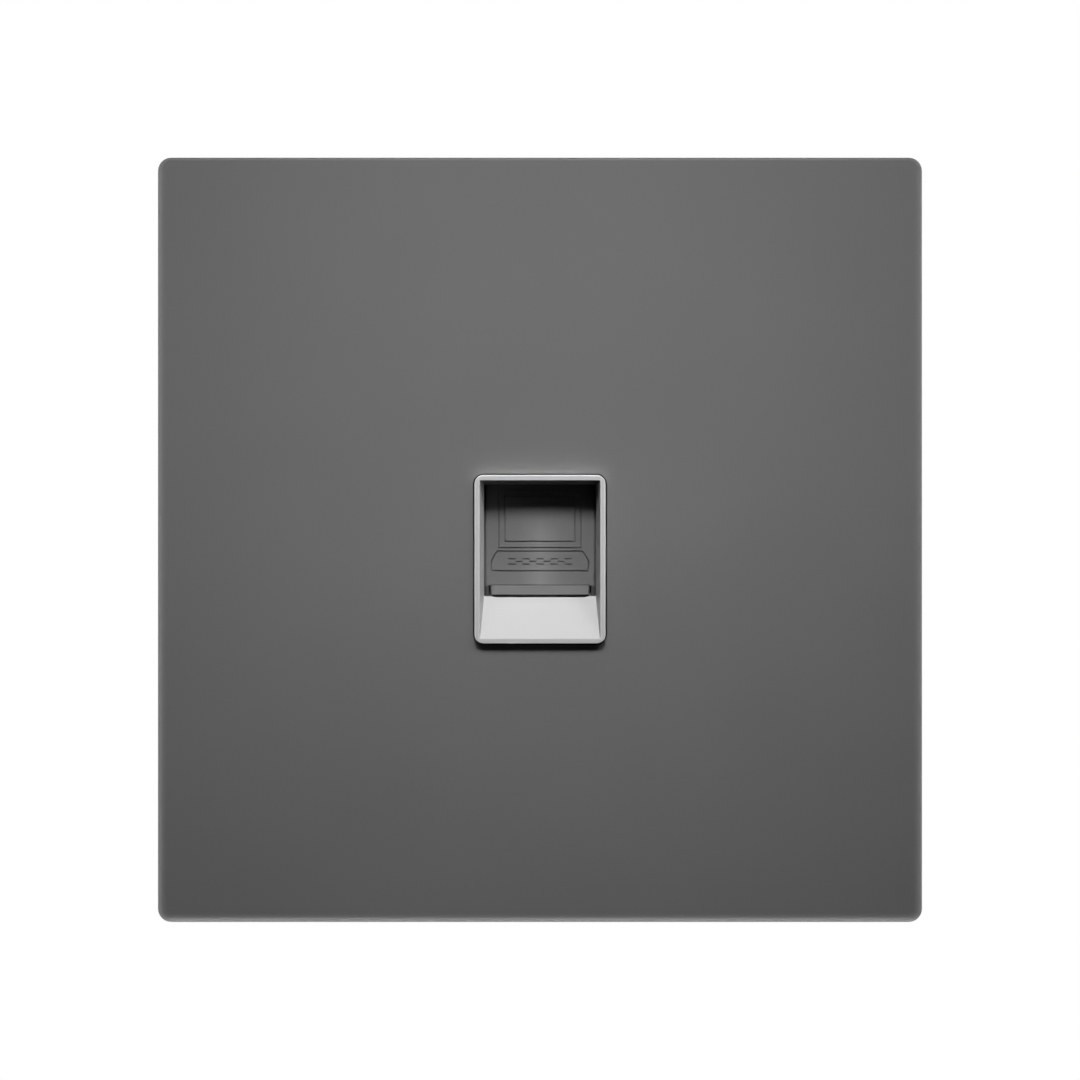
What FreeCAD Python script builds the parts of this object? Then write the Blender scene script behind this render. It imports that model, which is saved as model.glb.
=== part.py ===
import FreeCAD, Part
import os
from math import cos, hypot, radians, sin, sqrt

from FreeCAD import Vector

# Ethernet wall socket: a square cover plate and a tapered bezel over a sprung dust shutter, with a snap-in
# eight-way jack behind it, all carried by a frame that two screws fix to a wall box.
# Millimetres, Z up. The front faces -Y, the wall is the plane Y = 0, and the origin lies between the screws.

# Clearances
seat_clearance = 0.1
slide_clearance = 0.2
fit_clearance = 0.15

# Cover plate
plate_side = 86.0
plate_corner_radius = 1.5
plate_edge_fillet = 1.1
plate_skin = 1.8
plate_wall = 1.8
plate_inner_radius = 0.4
wall_gap = 0.2
plate_rib_height = 0.8
plate_rib_width = 1.0
plate_rib_margin = 3.0
pry_notch_width = 10.0
pry_notch_depth = 1.4

# Clips between cover and frame
clip_length = 12.0
clip_offset = 22.0
clip_reach = 0.9
clip_depth = 1.2
clip_above_floor = 1.6
clip_edge = 0.3

# Mounting frame
frame_gap = 0.3
frame_corner_radius = 1.0
frame_plate = 2.5
frame_rim_wall = 1.6
frame_rib_width = 1.2
frame_rib_height = 1.5
locating_wall = 1.2
locating_height = 2.0
frame_recess_depth = 1.2
frame_recess_margin = 4.0
frame_back_relief = 0.6
frame_back_border = 5.0

# Mounting screws
screw_spacing = 60.3
screw_radius = 2.0
screw_neck_radius = 1.75
screw_length = 25.0
screw_tip_chamfer = 0.4
screw_head_radius = 4.0
screw_head_height = 2.2
screw_head_bevel = 0.6
screw_recess_span = 4.2
screw_recess_width = 0.9
screw_recess_depth = 1.3
slot_travel = 2.6
slot_pad_height = 0.7
slot_pad_border = 3.0

# Bezel
bezel_width = 14.8
bezel_height = 19.0
bezel_centre_z = -2.14
bezel_corner_radius = 1.0
bezel_edge_chamfer = 0.25
bezel_proud = 1.0
bezel_gap = 0.15
bezel_rim = 0.6
bezel_draft = 0.5
ramp_rise = 4.82
ramp_relief = 0.14
ramp_relief_width = 10.0
ramp_relief_run = 0.6
flange_thickness = 1.1
flange_corner_radius = 1.0
peg_radius = 0.8
peg_length = 2.4
peg_inset = 1.9
peg_hole_sides = 6

# Shutter
shutter_thickness = 1.6
shutter_crown_radius = 40.0
shutter_side_overlap = 0.6
shutter_top_overlap = 1.34
shutter_bottom_overlap = 0.42
shutter_travel = 10.6
tongue_width = 1.3
tongue_thickness = 0.8
rail_height = 1.0
lip_width = 11.15
lip_height = 1.06
lip_reach = 0.5
lip_gap = 0.15
lip_end_radius = 0.35
corner_groove_width = 0.18
corner_groove_depth = 0.5
corner_relief_depth = 0.35
corner_relief_drop = 0.3

# Shutter springs
spring_diameter = 1.5
spring_wire = 0.25
spring_turns = 4.5
spring_spacing = 8.8
spring_channel = 4.0
spring_peg_length = 1.8

# Jack carrier
carrier_border = 2.85
carrier_margin = 2.0
track_floor = 1.5
tunnel_wall = 1.5
tunnel_depth = 5.0
tunnel_corner_radius = 0.6
snap_reach = 0.6
snap_length = 8.0
snap_edge = 0.2

# Jack housing
jack_width = 14.5
jack_height = 16.0
jack_depth = 15.9
jack_face_depth = 2.9
port_width = 11.8
port_height = 6.8
port_depth = 12.5
port_above_centre = 1.15
port_lip = 1.5
notch_width = 6.2
notch_depth = 2.3
throat_width = 3.4
throat_depth = 0.9
comb_pocket_height = 1.4
comb_pocket_side = 1.2
comb_roof = 0.45
latch_width = 8.0
latch_thickness = 1.0
latch_length = 9.0
latch_pad_length = 1.6
latch_pad_height = 1.5
hook_width = 6.0
hook_height = 1.0
hook_length = 1.6
hook_flat = 0.3
hook_from_tunnel_end = 2.1
arm_thickness = 0.6
arm_width = 4.0
arm_nib_reach = 0.5
arm_nib_length = 0.9

# Contacts and their comb
contact_count = 8
contact_pitch = 1.02
contact_width = 0.46
contact_thickness = 0.3
contact_bend_radius = 0.7
contact_slope = 12.0
contact_reach = 6.5
contact_bend_from_face = 3.3
contact_above_port = 0.57
comb_above_port = 0.15
comb_from_face = 4.4
groove_clearance = 0.05

# Circuit board
board_thickness = 1.2
board_margin = 0.45
contact_hole_radius = 0.36
terminal_hole_radius = 0.45
board_hole_sides = 6

# Terminal block and terminals
terminal_rows = 4
terminal_pitch = 3.3
block_base = 1.8
column_height = 7.5
column_width = 3.2
column_centre_x = 4.3
column_end = 1.925
wire_slot_width = 1.1
wire_slot_depth = 6.3
wire_entry_width = 2.1
wire_entry_depth = 1.0
blade_thickness = 0.5
blade_width = 2.4
blade_length = 6.9
blade_slit_width = 0.4
blade_slit_depth = 3.6
blade_entry_width = 1.4
blade_entry_depth = 0.9
blade_pin_width = 0.6

# Wire caps
cap_wall = 0.7
cap_roof = 1.2
cap_corner_radius = 0.5
cap_roof_gap = 0.3
cap_skirt = 6.2
cap_notch_width = 1.3
cap_notch_depth = 4.1
presser_width = 0.8
presser_gap = 0.4
grip_count = 3
grip_width = 0.5
grip_depth = 0.4
grip_pitch = 1.2

# How far a cutting tool runs past the face that it cuts, and the distance under which two points are one
overrun = 1.0
same_place = 1e-4

# Levels along Y, built up from the wall
frame_front = -frame_plate
track_face = frame_front - track_floor
carrier_front = track_face - shutter_thickness - 2 * slide_clearance
flange_front = carrier_front - flange_thickness
skin_back = flange_front - seat_clearance
plate_front = skin_back - plate_skin
bezel_front = plate_front - bezel_proud
shutter_back = track_face - slide_clearance
shutter_face = shutter_back - shutter_thickness
jack_front = track_face + seat_clearance
jack_back = jack_front + jack_depth
block_front = jack_back + board_thickness
column_front = block_front + block_base
column_back = column_front + column_height

# The bezel's mouth at the front and its window at the back
bezel_top = bezel_centre_z + bezel_height / 2
bezel_bottom = bezel_centre_z - bezel_height / 2
mouth_half = bezel_width / 2 - bezel_rim
mouth_top = bezel_top - bezel_rim
mouth_bottom = bezel_bottom + bezel_rim
window_half = mouth_half - bezel_draft
window_top = mouth_top - bezel_draft
window_bottom = mouth_bottom + ramp_rise

# The shutter, its track and the spring seats
face_half = window_half + shutter_side_overlap
shutter_half = face_half + tongue_width
shutter_top = window_top + shutter_top_overlap
shutter_bottom = window_bottom - shutter_bottom_overlap
lip_bottom = window_bottom + lip_gap
lip_top = lip_bottom + lip_height
track_half = shutter_half + slide_clearance
track_bottom = shutter_bottom - slide_clearance
track_top = shutter_top + shutter_travel + slide_clearance
spring_seat = track_top + spring_channel
spring_axis_y = shutter_back - shutter_thickness / 2
spring_half_spacing = spring_spacing / 2

# The carrier's outline, which the bezel's flange shares
carrier_half = track_half + carrier_border
carrier_top = spring_seat + carrier_margin
carrier_bottom = bezel_bottom - carrier_margin
carrier_height = carrier_top - carrier_bottom
carrier_centre_z = (carrier_top + carrier_bottom) / 2
peg_half_spacing = track_half + carrier_border / 2
peg_places = [
    (side * peg_half_spacing, height)
    for side in (-1, 1)
    for height in (carrier_bottom + peg_inset, carrier_top - peg_inset)
]

# The jack and its port, centred on the window
port_centre_z = (window_top + window_bottom) / 2
port_top = port_centre_z + port_height / 2
port_bottom = port_centre_z - port_height / 2
jack_centre_z = port_centre_z - port_above_centre
jack_top = jack_centre_z + jack_height / 2
jack_bottom = jack_centre_z - jack_height / 2
jack_half = jack_width / 2
body_top = port_top + comb_pocket_height + comb_roof
body_centre_z = (body_top + jack_bottom) / 2
tunnel_half = jack_half + seat_clearance + tunnel_wall
tunnel_top = jack_top + seat_clearance + tunnel_wall
tunnel_bottom = jack_bottom - seat_clearance - tunnel_wall
hook_back = tunnel_depth - hook_from_tunnel_end
hook_front = hook_back - hook_length

# The contacts
contact_level = port_top + contact_above_port
contact_places = [(index - (contact_count - 1) / 2) * contact_pitch for index in range(contact_count)]
comb_pocket_half = contact_places[-1] + comb_pocket_side

# The terminals, in two columns
terminal_levels = [
    body_centre_z + (row - (terminal_rows - 1) / 2) * terminal_pitch for row in range(terminal_rows)
]
column_half_height = (terminal_rows - 1) / 2 * terminal_pitch + column_end
blade_front = block_front + seat_clearance
blade_back = blade_front + blade_length


def block(x_low, x_high, y_low, y_high, z_low, z_high):
    """A square-edged block between two corners."""
    corner = Vector(x_low, y_low, z_low)
    return Part.makeBox(x_high - x_low, y_high - y_low, z_high - z_low, corner)


def rounded_slab(width, height, radius, centre_x, centre_z, y_low, y_high):
    """A slab across Y whose outline is a rectangle with round corners, or a slot where its arcs meet."""
    arcs = []
    for quarter in range(4):
        middle = radians(45 + 90 * quarter)
        along_x = (width / 2 - radius) * (1 if cos(middle) > 0 else -1)
        along_z = (height / 2 - radius) * (1 if sin(middle) > 0 else -1)
        centre = Vector(centre_x + along_x, y_low, centre_z + along_z)
        turns = [radians(90 * quarter + turn) for turn in (0, 45, 90)]
        arcs.append([centre + Vector(radius * cos(turn), 0, radius * sin(turn)) for turn in turns])
    edges = []
    for index, arc in enumerate(arcs):
        following = arcs[(index + 1) % 4]
        edges.append(Part.Arc(*arc).toShape())
        if arc[2].distanceToPoint(following[0]) > same_place:
            edges.append(Part.LineSegment(arc[2], following[0]).toShape())
    outline = Part.Face(Part.Wire(edges))
    return outline.extrude(Vector(0, y_high - y_low, 0))


def prism_along_x(profile, x_low, x_high):
    """A straight-sided (y, z) profile carried along X."""
    points = [Vector(x_low, y, z) for y, z in profile]
    return Part.Face(Part.makePolygon(points + points[:1])).extrude(Vector(x_high - x_low, 0, 0))


def prism_along_y(profile, y_low, y_high):
    """A straight-sided (x, z) profile carried along Y."""
    points = [Vector(x, y_low, z) for x, z in profile]
    return Part.Face(Part.makePolygon(points + points[:1])).extrude(Vector(0, y_high - y_low, 0))


def prism_along_z(profile, z_low, z_high):
    """A straight-sided (x, y) profile carried along Z."""
    points = [Vector(x, y, z_low) for x, y in profile]
    return Part.Face(Part.makePolygon(points + points[:1])).extrude(Vector(0, 0, z_high - z_low))


def pin_along_y(radius, x, z, y_low, y_high):
    """A round pin between two levels."""
    return Part.makeCylinder(radius, y_high - y_low, Vector(x, y_low, z), Vector(0, 1, 0))


def sided_hole(sides, flat_radius, x, z, y_low, y_high):
    """The tool for a hole with flat sides that a round pin of flat_radius just fills."""
    corner_radius = flat_radius / cos(radians(180 / sides))
    turns = [radians(360 * (corner + 0.5) / sides) for corner in range(sides)]
    corners = [(x + corner_radius * cos(turn), z + corner_radius * sin(turn)) for turn in turns]
    return prism_along_y(corners, y_low, y_high)


def edges_at_level(shape, level):
    """The edges of a shape that lie wholly in the plane Y = level."""
    return [
        edge for edge in shape.Edges
        if abs(edge.BoundBox.YMin - level) < same_place and abs(edge.BoundBox.YMax - level) < same_place
    ]


def on_four_sides(shape):
    """A shape on the right-hand side of the plate, repeated on its four sides."""
    copies = []
    for quarter in range(4):
        copy = shape.copy()
        copy.rotate(Vector(0, 0, 0), Vector(0, 1, 0), 90 * quarter)
        copies.append(copy)
    return copies


def mirrored(shape):
    """A shape's twin on the other side of the plane X = 0."""
    return shape.mirror(Vector(0, 0, 0), Vector(1, 0, 0))


def cover_plate():
    """A moulded tray with a rolled front edge, an opening for the bezel, ribs and eight clips."""
    tray = rounded_slab(plate_side, plate_side, plate_corner_radius, 0, 0, plate_front, -wall_gap)
    edge_fillet = min(plate_edge_fillet, 0.9 * plate_corner_radius)
    tray = tray.makeFillet(edge_fillet, edges_at_level(tray, plate_front))
    inner_side = plate_side - 2 * plate_wall
    tray = tray.cut(rounded_slab(inner_side, inner_side, plate_inner_radius, 0, 0, skin_back, overrun))

    inner_half = inner_side / 2
    rib_end = inner_half - frame_gap - frame_rim_wall - plate_rib_margin
    rib_back = skin_back + plate_rib_height
    half_rib = plate_rib_width / 2
    rib_across = carrier_half + plate_rib_margin + half_rib
    rib_levels = (carrier_bottom - plate_rib_margin - half_rib, carrier_top + plate_rib_margin + half_rib)
    ribs = []
    for x in (-rib_across, rib_across):
        ribs.append(block(x - half_rib, x + half_rib, skin_back, rib_back, -rib_end, rib_end))
    for z in rib_levels:
        ribs.append(block(-rib_end, rib_end, skin_back, rib_back, z - half_rib, z + half_rib))

    clip_front = frame_front - clip_above_floor
    clip_profile = [
        (inner_half + clip_edge, clip_front),
        (inner_half - clip_reach, clip_front),
        (inner_half - clip_reach, clip_front + clip_edge),
        (inner_half, clip_front + clip_depth),
        (inner_half + clip_edge, clip_front + clip_depth),
    ]
    clips = []
    for offset in (-clip_offset, clip_offset):
        clip = prism_along_z(clip_profile, offset - clip_length / 2, offset + clip_length / 2)
        clips.extend(on_four_sides(clip))

    opening = rounded_slab(
        bezel_width + 2 * bezel_gap, bezel_height + 2 * bezel_gap, bezel_corner_radius + bezel_gap,
        0, bezel_centre_z, plate_front - overrun, skin_back + overrun,
    )
    pry_notch = block(
        -pry_notch_width / 2, pry_notch_width / 2, -wall_gap - pry_notch_depth, overrun,
        -plate_side / 2 - overrun, -inner_half + overrun,
    )
    return tray.fuse(ribs + clips).cut([opening, pry_notch]).removeSplitter()


def rib_between(start, end):
    """A straight rib on the frame's floor from one (x, z) point to another."""
    run = hypot(end[0] - start[0], end[1] - start[1])
    side_x = -(end[1] - start[1]) / run * frame_rib_width / 2
    side_z = (end[0] - start[0]) / run * frame_rib_width / 2
    profile = [
        (start[0] + side_x, start[1] + side_z),
        (start[0] - side_x, start[1] - side_z),
        (end[0] - side_x, end[1] - side_z),
        (end[0] + side_x, end[1] + side_z),
    ]
    return prism_along_y(profile, frame_front - frame_rib_height, frame_front)


def mounting_frame():
    """A ribbed tray with a window for the module, two screw slots on raised pads and eight clip pockets."""
    side = plate_side - 2 * (plate_wall + frame_gap)
    rim_front = skin_back + seat_clearance
    floor_side = side - 2 * frame_rim_wall
    frame = rounded_slab(side, side, frame_corner_radius, 0, 0, rim_front, 0)
    tray = rounded_slab(floor_side, floor_side, plate_inner_radius, 0, 0, rim_front - overrun, frame_front)
    frame = frame.cut(tray)

    seat_width = 2 * (carrier_half + fit_clearance)
    seat_height = carrier_height + 2 * fit_clearance
    seat_radius = flange_corner_radius + fit_clearance
    wall_front = frame_front - locating_height
    locating_ring = rounded_slab(
        seat_width + 2 * locating_wall, seat_height + 2 * locating_wall, seat_radius + locating_wall,
        0, carrier_centre_z, wall_front, frame_front,
    )
    seat = rounded_slab(
        seat_width, seat_height, seat_radius, 0, carrier_centre_z, rim_front - overrun, frame_front
    )

    rim_inner = floor_side / 2 + frame_rim_wall / 2
    ring_half = seat_width / 2
    ring_ends = (carrier_bottom - fit_clearance, carrier_top + fit_clearance)
    ribs = []
    for across in (-1, 1):
        for level, end in ((ring_ends[0], -rim_inner), (ring_ends[1], rim_inner)):
            ribs.append(rib_between((across * ring_half, level), (across * rim_inner, end)))
            ribs.append(rib_between((across * ring_half, level), (across * ring_half, end)))

    pads = []
    bosses = []
    slots = []
    slot_radius = screw_radius + slide_clearance
    for x in (-screw_spacing / 2, screw_spacing / 2):
        pad_radius = slot_radius + slot_pad_border
        pad_width = slot_travel + 2 * pad_radius
        pad_front = frame_front - slot_pad_height
        pads.append(rounded_slab(pad_width, 2 * pad_radius, pad_radius, x, 0, pad_front, frame_front))
        bosses.append(rounded_slab(pad_width, 2 * pad_radius, pad_radius, x, 0, -frame_back_relief, 0))
        slots.append(rounded_slab(
            slot_travel + 2 * slot_radius, 2 * slot_radius, slot_radius, x, 0, rim_front, overrun
        ))

    pocket_front = frame_front - clip_above_floor - seat_clearance
    pocket_back = frame_front - clip_above_floor + clip_depth + slide_clearance
    pockets = []
    for offset in (-clip_offset, clip_offset):
        half_pocket = clip_length / 2 + slide_clearance
        pocket = block(
            side / 2 - clip_reach, side / 2 + overrun, pocket_front, pocket_back,
            offset - half_pocket, offset + half_pocket,
        )
        pockets.extend(on_four_sides(pocket))

    window = block(
        -tunnel_half - fit_clearance, tunnel_half + fit_clearance, frame_front - overrun, overrun,
        tunnel_bottom - fit_clearance, tunnel_top + fit_clearance,
    )
    recess = block(
        -tunnel_half - frame_recess_margin, tunnel_half + frame_recess_margin, -frame_recess_depth, overrun,
        tunnel_bottom - frame_recess_margin, tunnel_top + frame_recess_margin,
    )
    relief_side = side - 2 * frame_back_border
    relief = rounded_slab(
        relief_side, relief_side, frame_corner_radius, 0, 0, -frame_back_relief, overrun
    ).cut(bosses)
    frame = frame.fuse([locating_ring] + ribs + pads)
    return frame.cut([seat, window, recess, relief] + slots + pockets).removeSplitter()


def port_bezel():
    """A flange with a sleeve through the cover, tapered inside above a finger ramp, and four pegs behind."""
    sleeve = rounded_slab(
        bezel_width, bezel_height, bezel_corner_radius, 0, bezel_centre_z, bezel_front, carrier_front
    )
    sleeve = sleeve.makeChamfer(bezel_edge_chamfer, edges_at_level(sleeve, bezel_front))
    flange = rounded_slab(
        2 * carrier_half, carrier_height, flange_corner_radius, 0, carrier_centre_z,
        flange_front, carrier_front,
    )

    def corners(half, bottom, top, level):
        return [Vector(x, level, z) for x, z in ((-half, bottom), (half, bottom), (half, top), (-half, top))]

    mouth = corners(mouth_half, mouth_bottom, mouth_top, bezel_front)
    window = corners(window_half, window_bottom, window_top, carrier_front)
    walls = [mouth, window]
    for index in range(4):
        following = (index + 1) % 4
        walls.append([mouth[index], mouth[following], window[following], window[index]])
    funnel = Part.Solid(Part.Shell([Part.Face(Part.makePolygon(wall + wall[:1])) for wall in walls]))
    half_relief = ramp_relief_width / 2
    relief_bottom = window_bottom - ramp_relief
    relief = prism_along_y(
        [
            (-half_relief - ramp_relief_run, window_bottom),
            (-half_relief, relief_bottom),
            (half_relief, relief_bottom),
            (half_relief + ramp_relief_run, window_bottom),
        ],
        bezel_front, carrier_front + overrun,
    )
    pegs = [
        pin_along_y(peg_radius, x, z, carrier_front - flange_thickness / 2, carrier_front + peg_length)
        for x, z in peg_places
    ]
    return flange.fuse([sleeve] + pegs).cut([funnel, relief]).removeSplitter()


def shutter():
    """A slide with a gently crowned face, thin side tongues, a finger lip and a rail with two spring pegs."""
    crown_drop = shutter_crown_radius - sqrt(shutter_crown_radius ** 2 - face_half ** 2)
    tongue_front = shutter_back - tongue_thickness
    face_edge = shutter_face + crown_drop
    corners = [
        (-face_half, face_edge), (-face_half, tongue_front), (-shutter_half, tongue_front),
        (-shutter_half, shutter_back), (shutter_half, shutter_back), (shutter_half, tongue_front),
        (face_half, tongue_front), (face_half, face_edge),
    ]
    points = [Vector(x, y, shutter_bottom) for x, y in corners]
    crown = Part.Arc(points[-1], Vector(0, shutter_face, shutter_bottom), points[0]).toShape()
    outline = Part.Wire(Part.makePolygon(points).Edges + [crown])
    slide = Part.Face(outline).extrude(Vector(0, 0, shutter_top - shutter_bottom))

    rail_bottom = shutter_top - rail_height
    rail = block(-shutter_half, shutter_half, shutter_face, shutter_back, rail_bottom, shutter_top)
    lip_front = shutter_face - lip_reach
    lip = block(-lip_width / 2, lip_width / 2, lip_front, shutter_back, lip_bottom, lip_top)
    lip_ends = [
        edge for edge in lip.Edges
        if edge.BoundBox.ZLength > lip_height / 2 and edge.BoundBox.YMax < shutter_face
    ]
    lip = lip.makeFillet(lip_end_radius, lip_ends)
    peg_radius_in_spring = spring_diameter / 2 - spring_wire - seat_clearance
    pegs = [
        Part.makeCylinder(peg_radius_in_spring, spring_peg_length, Vector(x, spring_axis_y, shutter_top))
        for x in (-spring_half_spacing, spring_half_spacing)
    ]

    # The lower corners stand back from the face, behind a narrow groove at each end of the lip
    groove_start = lip_width / 2
    groove_end = groove_start + corner_groove_width
    cut_front = shutter_face - overrun
    corner_face = face_edge + corner_relief_depth
    tools = []
    for side in (-1, 1):
        corner = [
            (side * groove_end, shutter_bottom - overrun),
            (side * groove_end, lip_top),
            (side * face_half, lip_top - corner_relief_drop),
            (side * face_half, shutter_bottom - overrun),
        ]
        groove = [
            (side * groove_start, shutter_bottom - overrun),
            (side * groove_start, lip_top),
            (side * groove_end, lip_top),
            (side * groove_end, shutter_bottom - overrun),
        ]
        tools.append(prism_along_y(corner, cut_front, corner_face))
        tools.append(prism_along_y(groove, cut_front, face_edge + corner_groove_depth))
    return slide.cut(tools).fuse([rail, lip] + pegs).removeSplitter()


def shutter_spring(side):
    """A helical compression spring of square wire between the shutter's rail and its seat in the carrier."""
    low = shutter_top + seat_clearance + spring_wire / 2
    high = spring_seat - seat_clearance - spring_wire / 2
    coil_radius = (spring_diameter - spring_wire) / 2
    path = Part.makeHelix((high - low) / spring_turns, high - low, coil_radius)
    half_wire = spring_wire / 2
    corners = [
        Vector(coil_radius + half_wire * across, 0, half_wire * up)
        for across, up in ((-1, -1), (1, -1), (1, 1), (-1, 1))
    ]
    section = Part.makePolygon(corners + corners[:1])
    coil = Part.Wire(path).makePipeShell([section], True, True)
    coil.translate(Vector(side * spring_half_spacing, spring_axis_y, low))
    return coil


def hook_profile(face, outwards):
    """A (y, z) wedge on a level face: a slope at the front, a flat top and a square catch at the back."""
    tip = face + outwards * hook_height
    root = face - outwards * latch_thickness / 2
    return [
        (hook_front, root),
        (hook_front, face),
        (hook_back - hook_flat, tip),
        (hook_back, tip),
        (hook_back, root),
    ]


def jack_carrier():
    """The module's back half: the shutter's track, the spring channels and a snap-in tunnel for the jack."""
    carrier = rounded_slab(
        2 * carrier_half, carrier_height, flange_corner_radius, 0, carrier_centre_z,
        carrier_front, frame_front,
    )
    tunnel = rounded_slab(
        2 * tunnel_half, tunnel_top - tunnel_bottom, tunnel_corner_radius, 0, jack_centre_z,
        track_face, tunnel_depth,
    )
    snap_front = seat_clearance - frame_recess_depth
    snap_back = -seat_clearance
    snap_profile = [
        (tunnel_half - snap_edge, snap_front),
        (tunnel_half + snap_reach, snap_front),
        (tunnel_half + snap_reach, snap_front + snap_edge),
        (tunnel_half, snap_back),
        (tunnel_half - snap_edge, snap_back),
    ]
    snap = prism_along_z(snap_profile, jack_centre_z - snap_length / 2, jack_centre_z + snap_length / 2)

    track = block(-track_half, track_half, carrier_front - overrun, track_face, track_bottom, track_top)
    channel_half = spring_diameter / 2 + slide_clearance
    channels = [
        block(x - channel_half, x + channel_half, carrier_front - overrun, track_face, track_top, spring_seat)
        for x in (-spring_half_spacing, spring_half_spacing)
    ]
    opening = block(
        -jack_half - seat_clearance, jack_half + seat_clearance, track_face, tunnel_depth + overrun,
        jack_bottom - seat_clearance, jack_top + seat_clearance,
    )
    hook_half = hook_width / 2 + fit_clearance
    hook_window = block(
        -hook_half, hook_half, hook_front - fit_clearance, hook_back + seat_clearance,
        tunnel_bottom - overrun, tunnel_top + overrun,
    )
    hole_end = carrier_front + peg_length + seat_clearance
    peg_holes = [
        sided_hole(peg_hole_sides, peg_radius + seat_clearance, x, z, carrier_front - overrun, hole_end)
        for x, z in peg_places
    ]
    carrier = carrier.fuse([tunnel, snap, mirrored(snap)])
    return carrier.cut([track, opening, hook_window] + channels + peg_holes).removeSplitter()


def jack_housing():
    """The jack's body: a port with a stepped latch notch, a pocket for the comb, hooks and two rear arms."""
    rear_start = jack_front + jack_face_depth
    face = block(-jack_half, jack_half, jack_front, rear_start, jack_bottom, jack_top)
    body = block(-jack_half, jack_half, jack_front, jack_back, jack_bottom, body_top)

    latch_bottom = jack_top - latch_thickness
    latch_end = rear_start + latch_length
    pad_start = latch_end - latch_pad_length
    latch = prism_along_x(
        [
            (rear_start - latch_thickness, latch_bottom),
            (latch_end, latch_bottom),
            (latch_end, jack_top + latch_pad_height),
            (pad_start, jack_top),
            (rear_start - latch_thickness, jack_top),
        ],
        -latch_width / 2, latch_width / 2,
    )
    hooks = [
        prism_along_x(hook_profile(jack_top, 1), -hook_width / 2, hook_width / 2),
        prism_along_x(hook_profile(jack_bottom, -1), -hook_width / 2, hook_width / 2),
    ]

    arm_end = column_front + seat_clearance + arm_nib_length
    arm_inner = jack_half - arm_thickness
    nib_front = column_front + seat_clearance
    arm_profile = [
        (jack_half, jack_back - port_lip),
        (jack_half, arm_end),
        (arm_inner, arm_end),
        (arm_inner - arm_nib_reach, nib_front),
        (arm_inner, nib_front),
        (arm_inner, jack_back - port_lip),
    ]
    arm = prism_along_z(arm_profile, body_centre_z - arm_width / 2, body_centre_z + arm_width / 2)

    port_end = jack_front + port_depth
    port = block(-port_width / 2, port_width / 2, jack_front - overrun, port_end, port_bottom, port_top)
    notch_bottom = port_bottom - notch_depth
    step = notch_bottom + throat_depth
    front_notch = prism_along_y(
        [
            (-notch_width / 2, port_bottom), (-notch_width / 2, step), (-throat_width / 2, step),
            (-throat_width / 2, notch_bottom), (throat_width / 2, notch_bottom), (throat_width / 2, step),
            (notch_width / 2, step), (notch_width / 2, port_bottom),
        ],
        jack_front - overrun, jack_front + port_lip,
    )
    rear_notch = block(
        -notch_width / 2, notch_width / 2, jack_front + port_lip, port_end, notch_bottom, port_bottom
    )
    comb_pocket = block(
        -comb_pocket_half, comb_pocket_half, jack_front + port_lip, jack_back + overrun,
        port_top, port_top + comb_pocket_height,
    )
    housing = face.fuse([body, latch, arm, mirrored(arm)] + hooks)
    return housing.cut([port, front_notch, rear_notch, comb_pocket]).removeSplitter()


def contact_comb():
    """An insert in the housing's roof pocket, grooved underneath to hold the contacts at their pitch."""
    half = comb_pocket_half - seat_clearance
    bottom = port_top + comb_above_port
    front = jack_front + comb_from_face
    back = jack_back - seat_clearance
    comb = block(-half, half, front, back, bottom, port_top + comb_pocket_height - seat_clearance)
    groove_half = contact_width / 2 + groove_clearance
    groove_top = contact_level + contact_thickness / 2 + groove_clearance
    grooves = [
        block(x - groove_half, x + groove_half, front - overrun, back + overrun, bottom - overrun, groove_top)
        for x in contact_places
    ]
    return comb.cut(grooves)


def contact(x):
    """A flat spring strip along its groove from the board, round a bend and back into the port."""
    bend_y = jack_front + contact_bend_from_face
    bend_z = contact_level - contact_bend_radius

    def on_bend(turn):
        angle = radians(turn)
        return Vector(x, bend_y + contact_bend_radius * cos(angle), bend_z + contact_bend_radius * sin(angle))

    first_turn = 90
    last_turn = 270 - contact_slope
    tail = Vector(x, block_front - seat_clearance, contact_level)
    slope = radians(contact_slope)
    tip = on_bend(last_turn) + Vector(0, contact_reach * cos(slope), -contact_reach * sin(slope))
    path = Part.Wire([
        Part.LineSegment(tail, on_bend(first_turn)).toShape(),
        Part.Arc(on_bend(first_turn), on_bend((first_turn + last_turn) / 2), on_bend(last_turn)).toShape(),
        Part.LineSegment(on_bend(last_turn), tip).toShape(),
    ])
    half_width = contact_width / 2
    half_thickness = contact_thickness / 2
    corners = [
        tail + Vector(across, 0, up)
        for across, up in (
            (-half_width, -half_thickness), (half_width, -half_thickness),
            (half_width, half_thickness), (-half_width, half_thickness),
        )
    ]
    section = Part.makePolygon(corners + corners[:1])
    return path.makePipeShell([section], True, True)


def terminal_places():
    """The (x, z) of each terminal: the left column from the bottom up, then the right one."""
    return [(side * column_centre_x, level) for side in (-1, 1) for level in terminal_levels]


def circuit_board():
    """A small board behind the housing, drilled for the contacts and the terminals' pins."""
    half_width = jack_half - arm_thickness - fit_clearance
    board = block(
        -half_width, half_width, jack_back, block_front, jack_bottom + board_margin, body_top - seat_clearance
    )
    drilled = [(contact_hole_radius, x, contact_level) for x in contact_places]
    drilled += [(terminal_hole_radius, x, z) for x, z in terminal_places()]
    holes = [
        sided_hole(board_hole_sides, radius, x, z, jack_back - overrun, block_front + overrun)
        for radius, x, z in drilled
    ]
    return board.cut(holes)


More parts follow.
